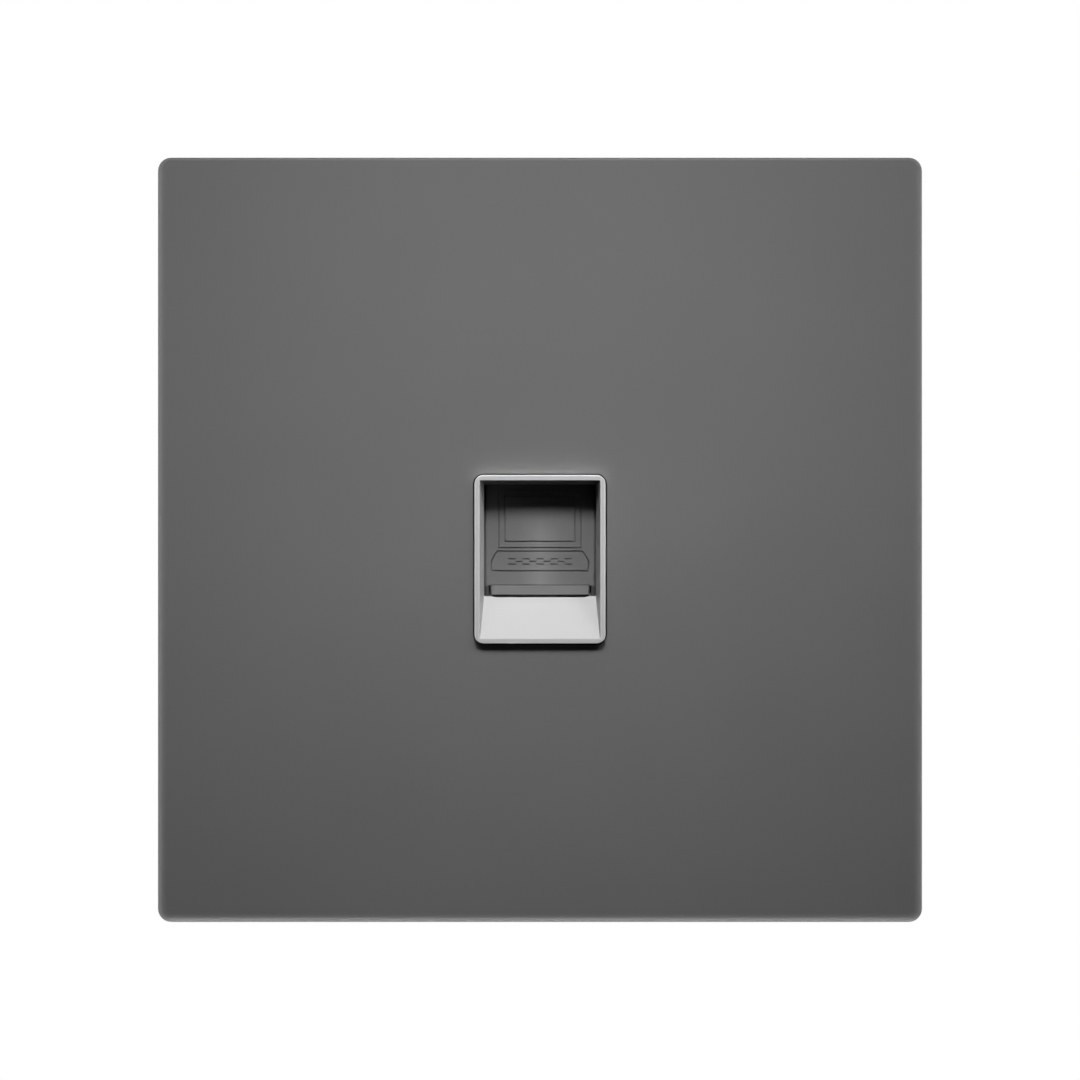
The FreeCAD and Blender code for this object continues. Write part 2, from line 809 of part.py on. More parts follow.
def idc_block():
    """A base plate with two columns, each slotted across with a V lead-in and pocketed for the blades."""
    base_half = jack_half - arm_thickness - seat_clearance
    base = block(-base_half, base_half, block_front, column_front, jack_bottom, body_top)
    columns = [
        block(
            x - column_width / 2, x + column_width / 2, column_front, column_back,
            body_centre_z - column_half_height, body_centre_z + column_half_height,
        )
        for x in (-column_centre_x, column_centre_x)
    ]
    tools = []
    pocket_across = blade_thickness / 2 + seat_clearance
    pocket_along = blade_width / 2 + seat_clearance
    for x, z in terminal_places():
        upper_half = [
            (column_back - wire_slot_depth, wire_slot_width / 2),
            (column_back - wire_entry_depth, wire_slot_width / 2),
            (column_back, wire_entry_width / 2),
            (column_back + overrun, wire_entry_width / 2),
        ]
        lower_half = [(y, -half) for y, half in reversed(upper_half)]
        slot_profile = [(y, z + half) for y, half in upper_half + lower_half]
        tools.append(prism_along_x(slot_profile, x - column_width, x + column_width))
        tools.append(block(
            x - pocket_across, x + pocket_across, block_front - overrun, blade_back + seat_clearance,
            z - pocket_along, z + pocket_along,
        ))
    return base.fuse(columns).cut(tools).removeSplitter()


def idc_terminal(x, z):
    """A slit blade with a pin: the wire is pushed into the slit, whose edges cut its insulation."""
    pin_front = jack_back + seat_clearance
    slit_end = blade_back - blade_slit_depth
    entry_end = blade_back - blade_entry_depth
    upper_half = [
        (pin_front, blade_pin_width / 2), (blade_front, blade_pin_width / 2), (blade_front, blade_width / 2),
        (blade_back, blade_width / 2), (blade_back, blade_entry_width / 2), (entry_end, blade_slit_width / 2),
        (slit_end, blade_slit_width / 2),
    ]
    lower_half = [(y, -half) for y, half in reversed(upper_half)]
    profile = [(y, z + half) for y, half in upper_half + lower_half]
    return prism_along_x(profile, x - blade_thickness / 2, x + blade_thickness / 2)


def wire_cap():
    """The right-hand cap: a shell over one column, notched for the wires, with a presser over each slot."""
    inner_width = column_width + 2 * seat_clearance
    inner_height = 2 * (column_half_height + seat_clearance)
    inner_roof = column_back + cap_roof_gap
    skirt = column_back - cap_skirt
    cap_back = inner_roof + cap_roof
    shell = rounded_slab(
        inner_width + 2 * cap_wall, inner_height + 2 * cap_wall, cap_corner_radius,
        column_centre_x, body_centre_z, skirt, cap_back,
    )
    hollow = block(
        column_centre_x - inner_width / 2, column_centre_x + inner_width / 2, skirt - overrun, inner_roof,
        body_centre_z - inner_height / 2, body_centre_z + inner_height / 2,
    )
    outer_half = inner_width / 2 + cap_wall
    notches = [
        block(
            column_centre_x - outer_half - overrun, column_centre_x + outer_half + overrun,
            skirt - overrun, skirt + cap_notch_depth,
            level - cap_notch_width / 2, level + cap_notch_width / 2,
        )
        for level in terminal_levels
    ]
    pressers = [
        block(
            column_centre_x - column_width / 2, column_centre_x + column_width / 2,
            blade_back + presser_gap, inner_roof + cap_roof / 2,
            level - presser_width / 2, level + presser_width / 2,
        )
        for level in terminal_levels
    ]
    grips = []
    for index in range(grip_count):
        level = body_centre_z + (index - (grip_count - 1) / 2) * grip_pitch
        grips.append(block(
            column_centre_x - outer_half - overrun, column_centre_x + outer_half + overrun,
            cap_back - grip_depth, cap_back + overrun, level - grip_width / 2, level + grip_width / 2,
        ))
    return shell.cut([hollow] + notches).fuse(pressers).cut(grips).removeSplitter()


def mounting_screw(x):
    """A pan-head machine screw, turned about its axis, with a cross recess. Its thread starts at the wall."""
    seat = frame_front - slot_pad_height
    tip = seat + screw_length
    top = seat - screw_head_height
    turned = [
        (0, top),
        (screw_head_radius - screw_head_bevel, top),
        (screw_head_radius, top + screw_head_bevel),
        (screw_head_radius, seat),
        (screw_neck_radius, seat),
        (screw_neck_radius, 0),
        (screw_radius, 0),
        (screw_radius, tip - screw_tip_chamfer),
        (screw_radius - screw_tip_chamfer, tip),
        (0, tip),
    ]
    points = [Vector(radius, level, 0) for radius, level in turned]
    screw = Part.Face(Part.makePolygon(points + points[:1])).revolve(Vector(0, 0, 0), Vector(0, 1, 0), 360)
    half_span = screw_recess_span / 2
    half_width = screw_recess_width / 2
    recess = [
        block(-half_span, half_span, top - overrun, top + screw_recess_depth, -half_width, half_width),
        block(-half_width, half_width, top - overrun, top + screw_recess_depth, -half_span, half_span),
    ]
    screw = screw.cut(recess)
    screw.translate(Vector(x, 0, 0))
    return screw


def all_pieces():
    """Every piece by its node's name."""
    right_cap = wire_cap()
    screws = [mounting_screw(x) for x in (-screw_spacing / 2, screw_spacing / 2)]
    pieces = {
        "cover_plate": cover_plate(),
        "mounting_frame": mounting_frame(),
        "port_bezel": port_bezel(),
        "shutter": shutter(),
        "shutter_spring_left": shutter_spring(-1),
        "shutter_spring_right": shutter_spring(1),
        "jack_carrier": jack_carrier(),
        "jack_housing": jack_housing(),
        "contact_comb": contact_comb(),
        "circuit_board": circuit_board(),
        "idc_block": idc_block(),
        "wire_cap_left": mirrored(right_cap),
        "wire_cap_right": right_cap,
        "mounting_screws": Part.makeCompound(screws),
    }
    for index, x in enumerate(contact_places):
        pieces[f"contact_{index + 1}"] = contact(x)
    for index, (x, z) in enumerate(terminal_places()):
        pieces[f"idc_terminal_{index + 1}"] = idc_terminal(x, z)
    return pieces


os.makedirs("parts", exist_ok=True)
for name, shape in all_pieces().items():
    shape.exportStep(f"parts/{name}.step")
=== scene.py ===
from math import atan, cos, pi, radians, sin, sqrt, tan

import bmesh
import bpy
import numpy as np
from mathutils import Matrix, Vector


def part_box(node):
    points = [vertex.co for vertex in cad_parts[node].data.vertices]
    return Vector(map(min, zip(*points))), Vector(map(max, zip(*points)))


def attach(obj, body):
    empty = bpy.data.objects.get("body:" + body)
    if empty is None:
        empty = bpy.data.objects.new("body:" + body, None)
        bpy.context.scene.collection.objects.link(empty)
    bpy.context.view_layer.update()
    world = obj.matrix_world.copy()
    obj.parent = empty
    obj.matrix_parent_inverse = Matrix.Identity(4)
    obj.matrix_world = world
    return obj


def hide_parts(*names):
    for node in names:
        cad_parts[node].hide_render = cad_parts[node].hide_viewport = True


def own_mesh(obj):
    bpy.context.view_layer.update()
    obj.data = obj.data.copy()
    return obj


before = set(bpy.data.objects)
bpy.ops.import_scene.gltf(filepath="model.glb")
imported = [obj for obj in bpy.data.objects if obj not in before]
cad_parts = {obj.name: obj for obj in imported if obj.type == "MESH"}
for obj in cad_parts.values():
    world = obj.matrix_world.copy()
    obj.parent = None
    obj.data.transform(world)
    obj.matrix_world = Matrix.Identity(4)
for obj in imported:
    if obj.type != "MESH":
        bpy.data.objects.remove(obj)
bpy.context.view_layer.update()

# Mounting frame: the tray that two screws hold against the wall box, and that everything else is fitted to.
# It is moulded in one piece from off-white polycarbonate, with ribs, clip pockets and a window for the
# module, and its edges keep the small rounds of the mould.
millimetre = 0.001
cloud_middle = 0.5


class Tone:
    """One socket of a shader tree: sums and products of tones and numbers add Math nodes to that tree."""

    def __init__(self, tree, socket=None):
        self.tree = tree
        self.socket = socket

    def feed(self, node, sockets):
        """Give a node's sockets, by identifier, their values or links."""
        inputs = {socket.identifier: socket for socket in node.inputs}
        for identifier, value in sockets.items():
            if isinstance(value, Tone):
                self.tree.links.new(value.socket, inputs[identifier])
            else:
                inputs[identifier].default_value = value

    def node(self, kind, settings, sockets, output):
        """Add any node: settings first, then its sockets' values or links. Its chosen output is a tone."""
        made = self.tree.nodes.new(kind)
        for setting, value in settings.items():
            setattr(made, setting, value)
        self.feed(made, sockets)
        outputs = {socket.identifier: socket for socket in made.outputs}
        return Tone(self.tree, outputs[output])

    def math(self, operation, first, second):
        """A Math node on two tones or numbers."""
        sockets = {"Value": first, "Value_001": second}
        return self.node("ShaderNodeMath", {"operation": operation}, sockets, "Value")

    def mix(self, low, high):
        """The colour low where this tone is 0, and high where it is 1."""
        sockets = {"Factor_Float": self, "A_Color": low, "B_Color": high}
        return self.node("ShaderNodeMix", {"data_type": "RGBA"}, sockets, "Result_Color")

    def held(self):
        """This tone kept between 0 and 1."""
        return self.node("ShaderNodeClamp", {}, {"Value": self}, "Result")

    def size(self):
        """This tone without its sign."""
        return self.math("ABSOLUTE", self, 0.0)

    def over(self, limit):
        """1 where this tone is over a limit, and 0 elsewhere."""
        return self.math("GREATER_THAN", self, limit)

    def place(self):
        """The surface's own coordinates on its piece, in metres."""
        return self.node("ShaderNodeTexCoord", {}, {}, "Object")

    def facing(self):
        """The direction that the surface faces."""
        return self.node("ShaderNodeNewGeometry", {}, {}, "Normal")

    def axis(self, letter):
        """One axis, X, Y or Z, of a place or a direction."""
        return self.node("ShaderNodeSeparateXYZ", {}, {"Vector": self}, letter)

    def relief(self, depth):
        """The surface's normal where this tone lifts the surface by up to depth millimetres."""
        sockets = {"Height": self, "Strength": 1.0, "Distance": depth * millimetre}
        return self.node("ShaderNodeBump", {}, sockets, "Normal")

    def __add__(self, other):
        return self.math("ADD", self, other)

    __radd__ = __add__

    def __sub__(self, other):
        return self.math("SUBTRACT", self, other)

    def __rsub__(self, other):
        return self.math("SUBTRACT", other, self)

    def __mul__(self, other):
        return self.math("MULTIPLY", self, other)

    __rmul__ = __mul__


def new_finish(name):
    """An empty material, its shader, and a tone to start expressions from."""
    finish = bpy.data.materials.new(name)
    finish.use_nodes = True
    return finish, finish.node_tree.nodes["Principled BSDF"], Tone(finish.node_tree)


def shade(colour, share):
    """A colour made lighter or darker by a share."""
    return (*[min(1.0, part * (1 + share)) for part in colour], 1.0)


def cloud(start, place, size, detail):
    """Soft noise whose lumps are about size millimetres across, from 0 to 1 round the cloud middle."""
    sockets = {"Vector": place, "Scale": 1 / (size * millimetre), "Detail": detail}
    return start.node("ShaderNodeTexNoise", {}, sockets, "Fac")


def moulded_plastic(name, colour, roughness, texture, gloss=0.5):
    """Moulded plastic: base colour = colour, lighter or darker by the flow tint in slow clouds where the melt
    flowed; roughness = the given value plus a share of the clouds and of the grain; the mould's texture, the
    size and the depth of its grain in millimetres, lifts the surface."""
    flow_size = 14.0
    flow_tint = 0.04
    flow_haze = 0.08
    grain_haze = 0.10
    grain_size, grain_depth = texture
    finish, shader, start = new_finish(name)
    place = start.place()
    flow = cloud(start, place, flow_size, detail=2.0)
    grain = cloud(start, place, grain_size, detail=3.0)
    start.feed(shader, {
        "Base Color": flow.mix(shade(colour, -flow_tint), shade(colour, flow_tint)),
        "Roughness": (flow - cloud_middle) * flow_haze + (grain - cloud_middle) * grain_haze + roughness,
        "Specular IOR Level": gloss,
        "Normal": grain.relief(grain_depth),
    })
    return finish


def finish_piece(name, shape, finish, smooth_angle):
    """One object of a finished bmesh: smooth where faces turn by less than smooth_angle degrees, and with
    each corner's normal led by its largest face, so that flat faces stay flat beside their rounded edges."""
    mesh = bpy.data.meshes.new(name)
    shape.to_mesh(mesh)
    shape.free()
    mesh.shade_smooth()
    mesh.set_sharp_from_angle(angle=radians(smooth_angle))
    mesh.materials.append(finish)
    piece = bpy.data.objects.new(name, mesh)
    bpy.context.scene.collection.objects.link(piece)
    piece.modifiers.new("even_normals", "WEIGHTED_NORMAL").keep_sharp = True
    return piece


def softened_copy(node, name, finish, edge_round):
    """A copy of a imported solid: its loose triangles are joined, faces that turn by under flat_angle degrees
    become one, and each edge that turns by over sharp_angle gives way to a stepped round, edge_round wide."""
    joining_distance = 0.001
    flat_angle = 0.5
    sharp_angle = 35
    smooth_angle = 50
    round_steps = 2
    shape = bmesh.new()
    shape.from_mesh(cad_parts[node].data)
    bmesh.ops.remove_doubles(shape, verts=shape.verts, dist=joining_distance * millimetre)
    bmesh.ops.dissolve_limit(shape, angle_limit=radians(flat_angle), verts=shape.verts, edges=shape.edges)
    sharp = [edge for edge in shape.edges if edge.calc_face_angle() > radians(sharp_angle)]
    bmesh.ops.bevel(
        shape, geom=sharp, offset=edge_round * millimetre, offset_type="OFFSET", segments=round_steps,
        profile=0.5, affect="EDGES", clamp_overlap=False,
    )
    return finish_piece(name, shape, finish, smooth_angle)


frame_white = moulded_plastic("frame_white", (0.74, 0.73, 0.70), roughness=0.46, texture=(0.30, 0.006))
frame_tray = softened_copy("mounting_frame", "frame_tray", frame_white, edge_round=0.10)
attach(frame_tray, "socket")
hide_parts("mounting_frame")

# Fixing screws: two M4 pan-head machine screws of zinc-plated steel, with a cross recess and a rolled thread.
# They pass through the frame's slots into the lugs of the wall box.
screw_low, screw_high = [np.array(corner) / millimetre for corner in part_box("mounting_screws")]
head_radius = 4.0
head_height = 2.2
head_round = 0.7
head_round_steps = 6
face_steps = 28
axis_radius = 0.05
neck_radius = 1.75
thread_radius = 2.0
thread_depth = 0.40
thread_pitch = 0.7
thread_steps = 10
thread_fade = 0.7
turn_steps = 96
tip_taper = 0.7
recess_span = 4.2
recess_width = 0.9
recess_depth = 1.3
recess_wall = 0.12


def skin(rings, closed=False):
    """A shell from a grid of points, each row a closed ring: four-sided faces join each ring to the next, and
    either the last ring joins the first or a flat lid ends each end."""
    rows, columns = rings.shape[:2]
    index = np.arange(rows * columns).reshape(rows, columns)
    following = np.roll(index, -1, axis=0)
    lids = [] if closed else [index[0], index[-1]]
    if not closed:
        index, following = index[:-1], following[:-1]
    quads = [index, np.roll(index, -1, axis=1), np.roll(following, -1, axis=1), following]
    return rings.reshape(-1, 3), np.stack(quads, axis=-1).reshape(-1, 4), lids


def shell_mesh(shells):
    """A bmesh of closed shells given in millimetres, with all faces pointing outwards."""
    points = np.concatenate([shell[0] for shell in shells]) * millimetre
    faces = []
    first = 0
    for own_points, quads, lids in shells:
        faces += (quads + first).tolist() + [(lid + first).tolist() for lid in lids]
        first += len(own_points)
    mesh = bpy.data.meshes.new("shells")
    mesh.from_pydata(points.tolist(), [], faces)
    shape = bmesh.new()
    shape.from_mesh(mesh)
    bpy.data.meshes.remove(mesh)
    bmesh.ops.recalc_face_normals(shape, faces=shape.faces)
    return shape


def inside(distance, limit, wall):
    """1 under the limit and 0 beyond it, with a straight slope of width wall centred on the limit."""
    return np.clip((limit - distance) / wall + 0.5, 0, 1)


def within(value, low, high, wall):
    """1 from low to high and 0 outside, with a straight slope of width wall centred on each limit."""
    return np.clip((value - low) / wall + 0.5, 0, 1) * inside(value, high, wall)


def turned_screw(centre_x):
    """Rings about the screw's axis, one for each step of its outline (radius, depth). On the thread the
    radius falls from crest to root by a triangle wave of depth / pitch + turn / 2 pi, and on the head the face
    sinks by the recess depth within a cross."""
    top = screw_low[1]
    seat = top + head_height
    tip = screw_high[1]
    corner = np.linspace(0, pi / 2, head_round_steps)
    face_radii = np.linspace(axis_radius, head_radius - head_round, face_steps)
    thread_levels = np.arange(0.0, tip - tip_taper, thread_pitch / thread_steps)
    radius = np.concatenate([
        face_radii, head_radius - head_round + head_round * np.sin(corner[1:]), [head_radius, neck_radius],
        [neck_radius], np.full(len(thread_levels), thread_radius), [thread_radius - tip_taper, axis_radius],
    ])
    level = np.concatenate([
        np.full(len(face_radii), top), top + head_round * (1 - np.cos(corner[1:])), [seat, seat],
        [0.0], thread_levels, [tip, tip],
    ])
    turn = np.linspace(0, 2 * pi, turn_steps, endpoint=False)
    on_thread = within(level, thread_pitch / 2, tip - tip_taper, thread_fade)[:, None]
    wave = np.abs((level[:, None] / thread_pitch + turn / (2 * pi)) % 1.0 * 2 - 1)
    radii = radius[:, None] - thread_depth * wave * on_thread
    across = radii * np.cos(turn)
    upwards = radii * np.sin(turn)
    arms = []
    for along, aside in ((across, upwards), (upwards, across)):
        in_length = inside(np.abs(along), recess_span / 2, recess_wall)
        arms.append(in_length * inside(np.abs(aside), recess_width / 2, recess_wall))
    on_face = (level == top)[:, None]
    depth = level[:, None] + on_face * recess_depth * np.maximum(*arms)
    return skin(np.stack([centre_x + across, depth, upwards], axis=-1))


def plated_metal(name, colour, roughness, streak_size):
    """Plated metal: the colour clouds by the tarnish tint, and the roughness varies with the clouds and with
    fine pits that also mark the surface by the pit depth."""
    tarnish_tint = 0.08
    tarnish_haze = 0.25
    pit_size = 0.08
    pit_haze = 0.15
    pit_depth = 0.002
    finish, shader, start = new_finish(name)
    place = start.place()
    tarnish = cloud(start, place, streak_size, detail=4.0)
    pits = cloud(start, place, pit_size, detail=2.0)
    start.feed(shader, {
        "Base Color": tarnish.mix(shade(colour, -tarnish_tint), shade(colour, tarnish_tint)),
        "Roughness": (tarnish - cloud_middle) * tarnish_haze + (pits - cloud_middle) * pit_haze + roughness,
        "Metallic": 1.0,
        "Normal": pits.relief(pit_depth),
    })
    return finish


screw_zinc = plated_metal("screw_zinc", (0.66, 0.66, 0.64), roughness=0.30, streak_size=2.0)
screw_places = (screw_low[0] + head_radius, screw_high[0] - head_radius)
screw_mesh = shell_mesh([turned_screw(x) for x in screw_places])
screws = finish_piece("fixing_screws", screw_mesh, screw_zinc, smooth_angle=45)
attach(screws, "socket")
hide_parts("mounting_screws")

# Jack housing: the snap-in body of the jack, with the stepped port, the fixed hook, the springy latch and two
# rear arms that grip the terminal block. It is moulded in black plastic and pushed into the carrier's tunnel.
jack_black = moulded_plastic("jack_black", (0.030, 0.030, 0.031), roughness=0.38, texture=(0.25, 0.005))
jack_body = softened_copy("jack_housing", "jack_body", jack_black, edge_round=0.08)
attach(jack_body, "socket")
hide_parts("jack_housing")

# Contact comb: the grooved insert in the roof of the port that keeps the eight contacts apart.
# It is a small black moulding, slid in from behind before the board is soldered on.
comb_black = moulded_plastic("comb_black", (0.050, 0.050, 0.052), roughness=0.50, texture=(0.20, 0.004))
comb_insert = softened_copy("contact_comb", "comb_insert", comb_black, edge_round=0.04)
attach(comb_insert, "socket")
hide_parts("contact_comb")

# Contacts: eight strips of spring bronze, plated with gold, each bent back on itself so that it slopes down
# into the port and presses on a plug. Their straight tails lie in the comb's grooves and are soldered to the
# board.
contact_count = 8
contact_half_width = 0.23
contact_half_thickness = 0.15
contact_corner = 0.06
contact_bend_radius = 0.7
contact_slope = radians(12.0)
contact_reach = 6.5
tail_steps = 8
bend_steps = 16
nose_steps = 6
corner_steps = 6


def rounded_loop(half_x, half_z, radius, centre_z=0.0, stations=()):
    """Points round a rectangle with round corners, anticlockwise from its right side, as (x, z) rows: each
    corner is an arc of equal steps, and each side has a point at each station, measured from its middle."""
    turns = np.linspace(0, pi / 2, corner_steps + 1)
    runs = []
    for quarter in range(4):
        start = quarter * pi / 2
        sign_x = round(sqrt(2) * cos(start + pi / 4))
        sign_z = round(sqrt(2) * sin(start + pi / 4))
        corner = np.array([sign_x * (half_x - radius), sign_z * (half_z - radius)])
        runs.append(corner + radius * np.column_stack([np.cos(start + turns), np.sin(start + turns)]))
        middle = np.array([half_x * round(cos(start + pi / 2)), half_z * round(sin(start + pi / 2))])
        along = np.array([round(cos(start + pi)), round(sin(start + pi))])
        runs.append(middle + np.outer(sorted(stations), along))
    return np.concatenate(runs) + (0.0, centre_z)


def bent_strip(node):
    """A flat strip carried along its path in the (y, z) plane: a straight tail, an arc of the bend radius and
    a straight slope. Each ring is the strip's section, set across the path's own direction."""
    low, high = [np.array(corner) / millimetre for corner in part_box(node)]
    level = high[2] - contact_half_thickness
    bend_y = low[1] + contact_half_thickness + contact_bend_radius
    turns = np.linspace(pi / 2, 1.5 * pi - contact_slope, bend_steps + 1)
    bend = np.column_stack([np.cos(turns), np.sin(turns)]) * contact_bend_radius
    bend += (bend_y, level - contact_bend_radius)
    slope = np.array([cos(contact_slope), -sin(contact_slope)])
    tail = np.column_stack([np.linspace(high[1], bend_y, tail_steps + 1)[:-1], np.full(tail_steps, level)])
    nose = bend[-1] + np.outer(np.linspace(0, contact_reach, nose_steps + 1)[1:], slope)
    path = np.concatenate([tail, bend, nose])
    direction = np.concatenate([
        np.tile((-1.0, 0.0), (tail_steps, 1)),
        np.column_stack([-np.sin(turns), np.cos(turns)]),
        np.tile(slope, (nose_steps, 1)),
    ])
    across = np.column_stack([-direction[:, 1], direction[:, 0]])
    section = rounded_loop(contact_half_width, contact_half_thickness, contact_corner)
    rings = np.empty((len(path), len(section), 3))
    rings[..., 0] = (low[0] + high[0]) / 2 + section[:, 0]
    rings[..., 1:] = path[:, None, :] + section[None, :, 1:] * across[:, None, :]
    return skin(rings)


contact_gold = plated_metal("contact_gold", (0.83, 0.62, 0.26), roughness=0.22, streak_size=1.2)
for number in range(1, contact_count + 1):
    node = f"contact_{number}"
    spring_strip = finish_piece(f"gold_{node}", shell_mesh([bent_strip(node)]), contact_gold, smooth_angle=40)
    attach(spring_strip, "socket")
    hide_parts(node)

# Circuit board: the small glass-fibre board that joins the contacts to the cable terminals. Both faces have a
# green resist over copper tracks, and the sawn edges show the pale fibre.
resist_colour = (0.030, 0.170, 0.070)
fibre_colour = (0.46, 0.44, 0.27)
fibre_dark = -0.2
fibre_light = 0.15
coat_slope = 8.0
coat_offset = 6.0
track_width = 6.0
track_bend = 1.5
track_slope = 6.0
track_offset = 4.5
track_tint = 0.45
layer_size = 0.3
layer_depth = 0.004
layer_haze = 0.1
fibre_roughness = 0.75
resist_gloss = 0.42


def coated_board(name):
    """Board finish: green resist where the surface faces along Y and bare fibre elsewhere; the tracks under
    the resist show as lighter lines where a wave across the board peaks, and the layers of fibre lift the
    surface a little."""
    finish, shader, start = new_finish(name)
    place = start.place()
    along_y = start.facing().axis("Y")
    coated = (along_y * along_y * coat_slope - coat_offset).held()
    wave = {"Vector": place, "Scale": 1 / (track_width * millimetre), "Distortion": track_bend, "Detail": 0.0}
    tracks = (start.node("ShaderNodeTexWave", {}, wave, "Fac") * track_slope - track_offset).held()
    resist = tracks.mix(shade(resist_colour, 0.0), shade(resist_colour, track_tint))
    layers = cloud(start, place, layer_size, detail=3.0)
    fibre = layers.mix(shade(fibre_colour, fibre_dark), shade(fibre_colour, fibre_light))
    start.feed(shader, {
        "Base Color": coated.mix(fibre, resist),
        "Roughness": fibre_roughness - coated * resist_gloss + (layers - cloud_middle) * layer_haze,
        "Normal": layers.relief(layer_depth),
    })
    return finish


board_green = coated_board("board_green")
board = softened_copy("circuit_board", "drilled_board", board_green, edge_round=0.05)
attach(board, "socket")
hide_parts("circuit_board")

# Terminal block: the slotted white moulding behind the board, with two columns of four wire slots.
# The blades stand in its pockets, and the jack's rear arms hold it on.
block_white = moulded_plastic("block_white", (0.70, 0.69, 0.66), roughness=0.45, texture=(0.25, 0.005))
terminal_block = softened_copy("idc_block", "terminal_block", block_white, edge_round=0.07)
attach(terminal_block, "socket")
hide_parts("idc_block")

# Terminals: eight blades of tinned bronze, stamped with a tapered slit that cuts through a wire's insulation
# and grips its core. A pin on each is soldered to the board.
terminal_count = 8
blade_tin = plated_metal("blade_tin", (0.70, 0.69, 0.66), roughness=0.34, streak_size=0.8)
for number in range(1, terminal_count + 1):
    node = f"idc_terminal_{number}"
    blade = softened_copy(node, f"slit_blade_{number}", blade_tin, edge_round=0.04)
    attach(blade, "socket")
    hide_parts(node)

# Wire caps: two white shells that press the wires into the blades and keep dust out. Each is moulded with a
# presser over every slot, notches for the wires and three grip grooves, and snaps over a column of the block.
cap_white = moulded_plastic("cap_white", (0.78, 0.78, 0.76), roughness=0.40, texture=(0.25, 0.005))
for side in ("left", "right"):
    node = f"wire_cap_{side}"
    cap = softened_copy(node, f"dust_cap_{side}", cap_white, edge_round=0.08)
    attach(cap, "socket")
    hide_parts(node)

# Jack carrier: the light grey moulding behind the bezel, with the shutter's track, the spring channels and
# the tunnel that the jack snaps into. It sits in the frame's locating ring, held by two side snaps.
carrier_grey = moulded_plastic("carrier_grey", (0.48, 0.48, 0.49), roughness=0.48, texture=(0.30, 0.006))
carrier = softened_copy("jack_carrier", "shutter_carrier", carrier_grey, edge_round=0.08)
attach(carrier, "socket")
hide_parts("jack_carrier")

# Shutter springs: two compression springs of bright drawn wire, coiled with closed ends. They push the
# shutter down from their seats in the carrier, and shorten as it slides up; here they are built at one length.
spring_wire_radius = 0.125
spring_turns = 12
closed_turns = 1.0
coil_steps = 28
wire_sides = 10


def coiled_wire(node):
    """A round wire carried along a helix: the height rises by one wire thickness over each closed end turn,
    and evenly between them. Each ring lies in the plane through the coil's axis."""
    low, high = [np.array(corner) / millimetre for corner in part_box(node)]
    centre = (low + high) / 2
    coil_radius = min(high[0] - low[0], high[1] - low[1]) / 2 - spring_wire_radius
    turn = np.linspace(0, spring_turns, spring_turns * coil_steps + 1)
    bottom = low[2] + spring_wire_radius
    top = high[2] - spring_wire_radius
    wire = 2 * spring_wire_radius
    end_turns = [0, closed_turns, spring_turns - closed_turns, spring_turns]
    height = np.interp(turn, end_turns, [bottom, bottom + wire, top - wire, top])
    around = np.linspace(0, 2 * pi, wire_sides, endpoint=False)
    radii = coil_radius + spring_wire_radius * np.cos(around)
    angle = (turn * 2 * pi)[:, None]
    rings = np.stack([
        centre[0] + radii * np.cos(angle),
        centre[1] + radii * np.sin(angle),
        height[:, None] + spring_wire_radius * np.sin(around),
    ], axis=-1)
    return skin(rings)


spring_steel = plated_metal("spring_steel", (0.62, 0.62, 0.63), roughness=0.24, streak_size=0.6)
for side in ("left", "right"):
    node = f"shutter_spring_{side}"
    low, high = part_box(node)
    spring_mesh = shell_mesh([coiled_wire(node)])
    spring = finish_piece(f"coil_spring_{side}", spring_mesh, spring_steel, smooth_angle=60)
    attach(spring, "socket")
    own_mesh(spring)
    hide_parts(node)

# Shutter: the dark grey dust shutter, which slides up behind the bezel to open the port. It is moulded with a
# gently crowned face, a finger lip, tongues that run in the carrier's track and a rail for the two springs,
# and a plain sign of a screen and a keyboard is engraved on its face.
shutter_low, shutter_high = [np.array(corner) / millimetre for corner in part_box("shutter")]
shutter_back = shutter_high[1]
shutter_bottom = shutter_low[2]
peg_top = shutter_high[2]
peg_length = 1.8
peg_radius = 0.4
peg_spacing = 8.8
peg_edge = 0.12
peg_root = 0.4
shutter_top = peg_top - peg_length
shutter_half = shutter_high[0]
tongue_width = 1.3
tongue_thickness = 0.8
shutter_thickness = 1.6
crown_radius = 40.0
side_chamfer_start = 6.07
side_chamfer_width = 0.4
side_chamfer_slope = 1.0
rail_height = 1.0
rail_corner = 0.15
rail_edge = 0.08
lip_half = 5.575
lip_height = 1.06
lip_above_bottom = 0.47
lip_reach = 0.5
lip_end_radius = 0.35
lip_back_inset = 0.6
lip_edge = 0.03
lip_line_width = 0.075
corner_groove_width = 0.20
corner_groove_depth = 1.25
corner_slope = 0.65
corner_relief_drop = 0.3
corner_relief_height = 0.4
least_thickness = 0.12
engraved_width = 0.115
engraved_depth = 0.40
engraved_wall = 0.012
screen_outer = (4.62, -0.86, 5.68)
screen_inner = (3.94, -0.146, 4.95)
keyboard_levels = (-3.47, -1.25)
key_pitch = 1.576
key_thickness = 0.11
key_end_count = 5
key_rows = ((-2.105, 0.0, 3.8), (-2.41, 0.5, 3.0), (-2.71, 0.0, 3.8))
# The half width and the levels of the painted sheen on the shutter's face, and the share of painted light
# towards the lip.
painted_sheen_half = 2.4
painted_sheen_levels = (1.2, 3.4)
painted_foot_light = 0.16
shutter_gloss = 0.3
outline_levels = (-4.6, -3.47, -2.42, -1.25, -0.86)
outline_halves = (4.62, 5.39, 5.54, 4.83, 4.62)
slant_start = 4.05
slant_groove = (4.5, 4.74)
face_columns = 24
face_rows = 30
side_column_gap = 0.3
side_column_step = 0.06
grid_decimals = 6

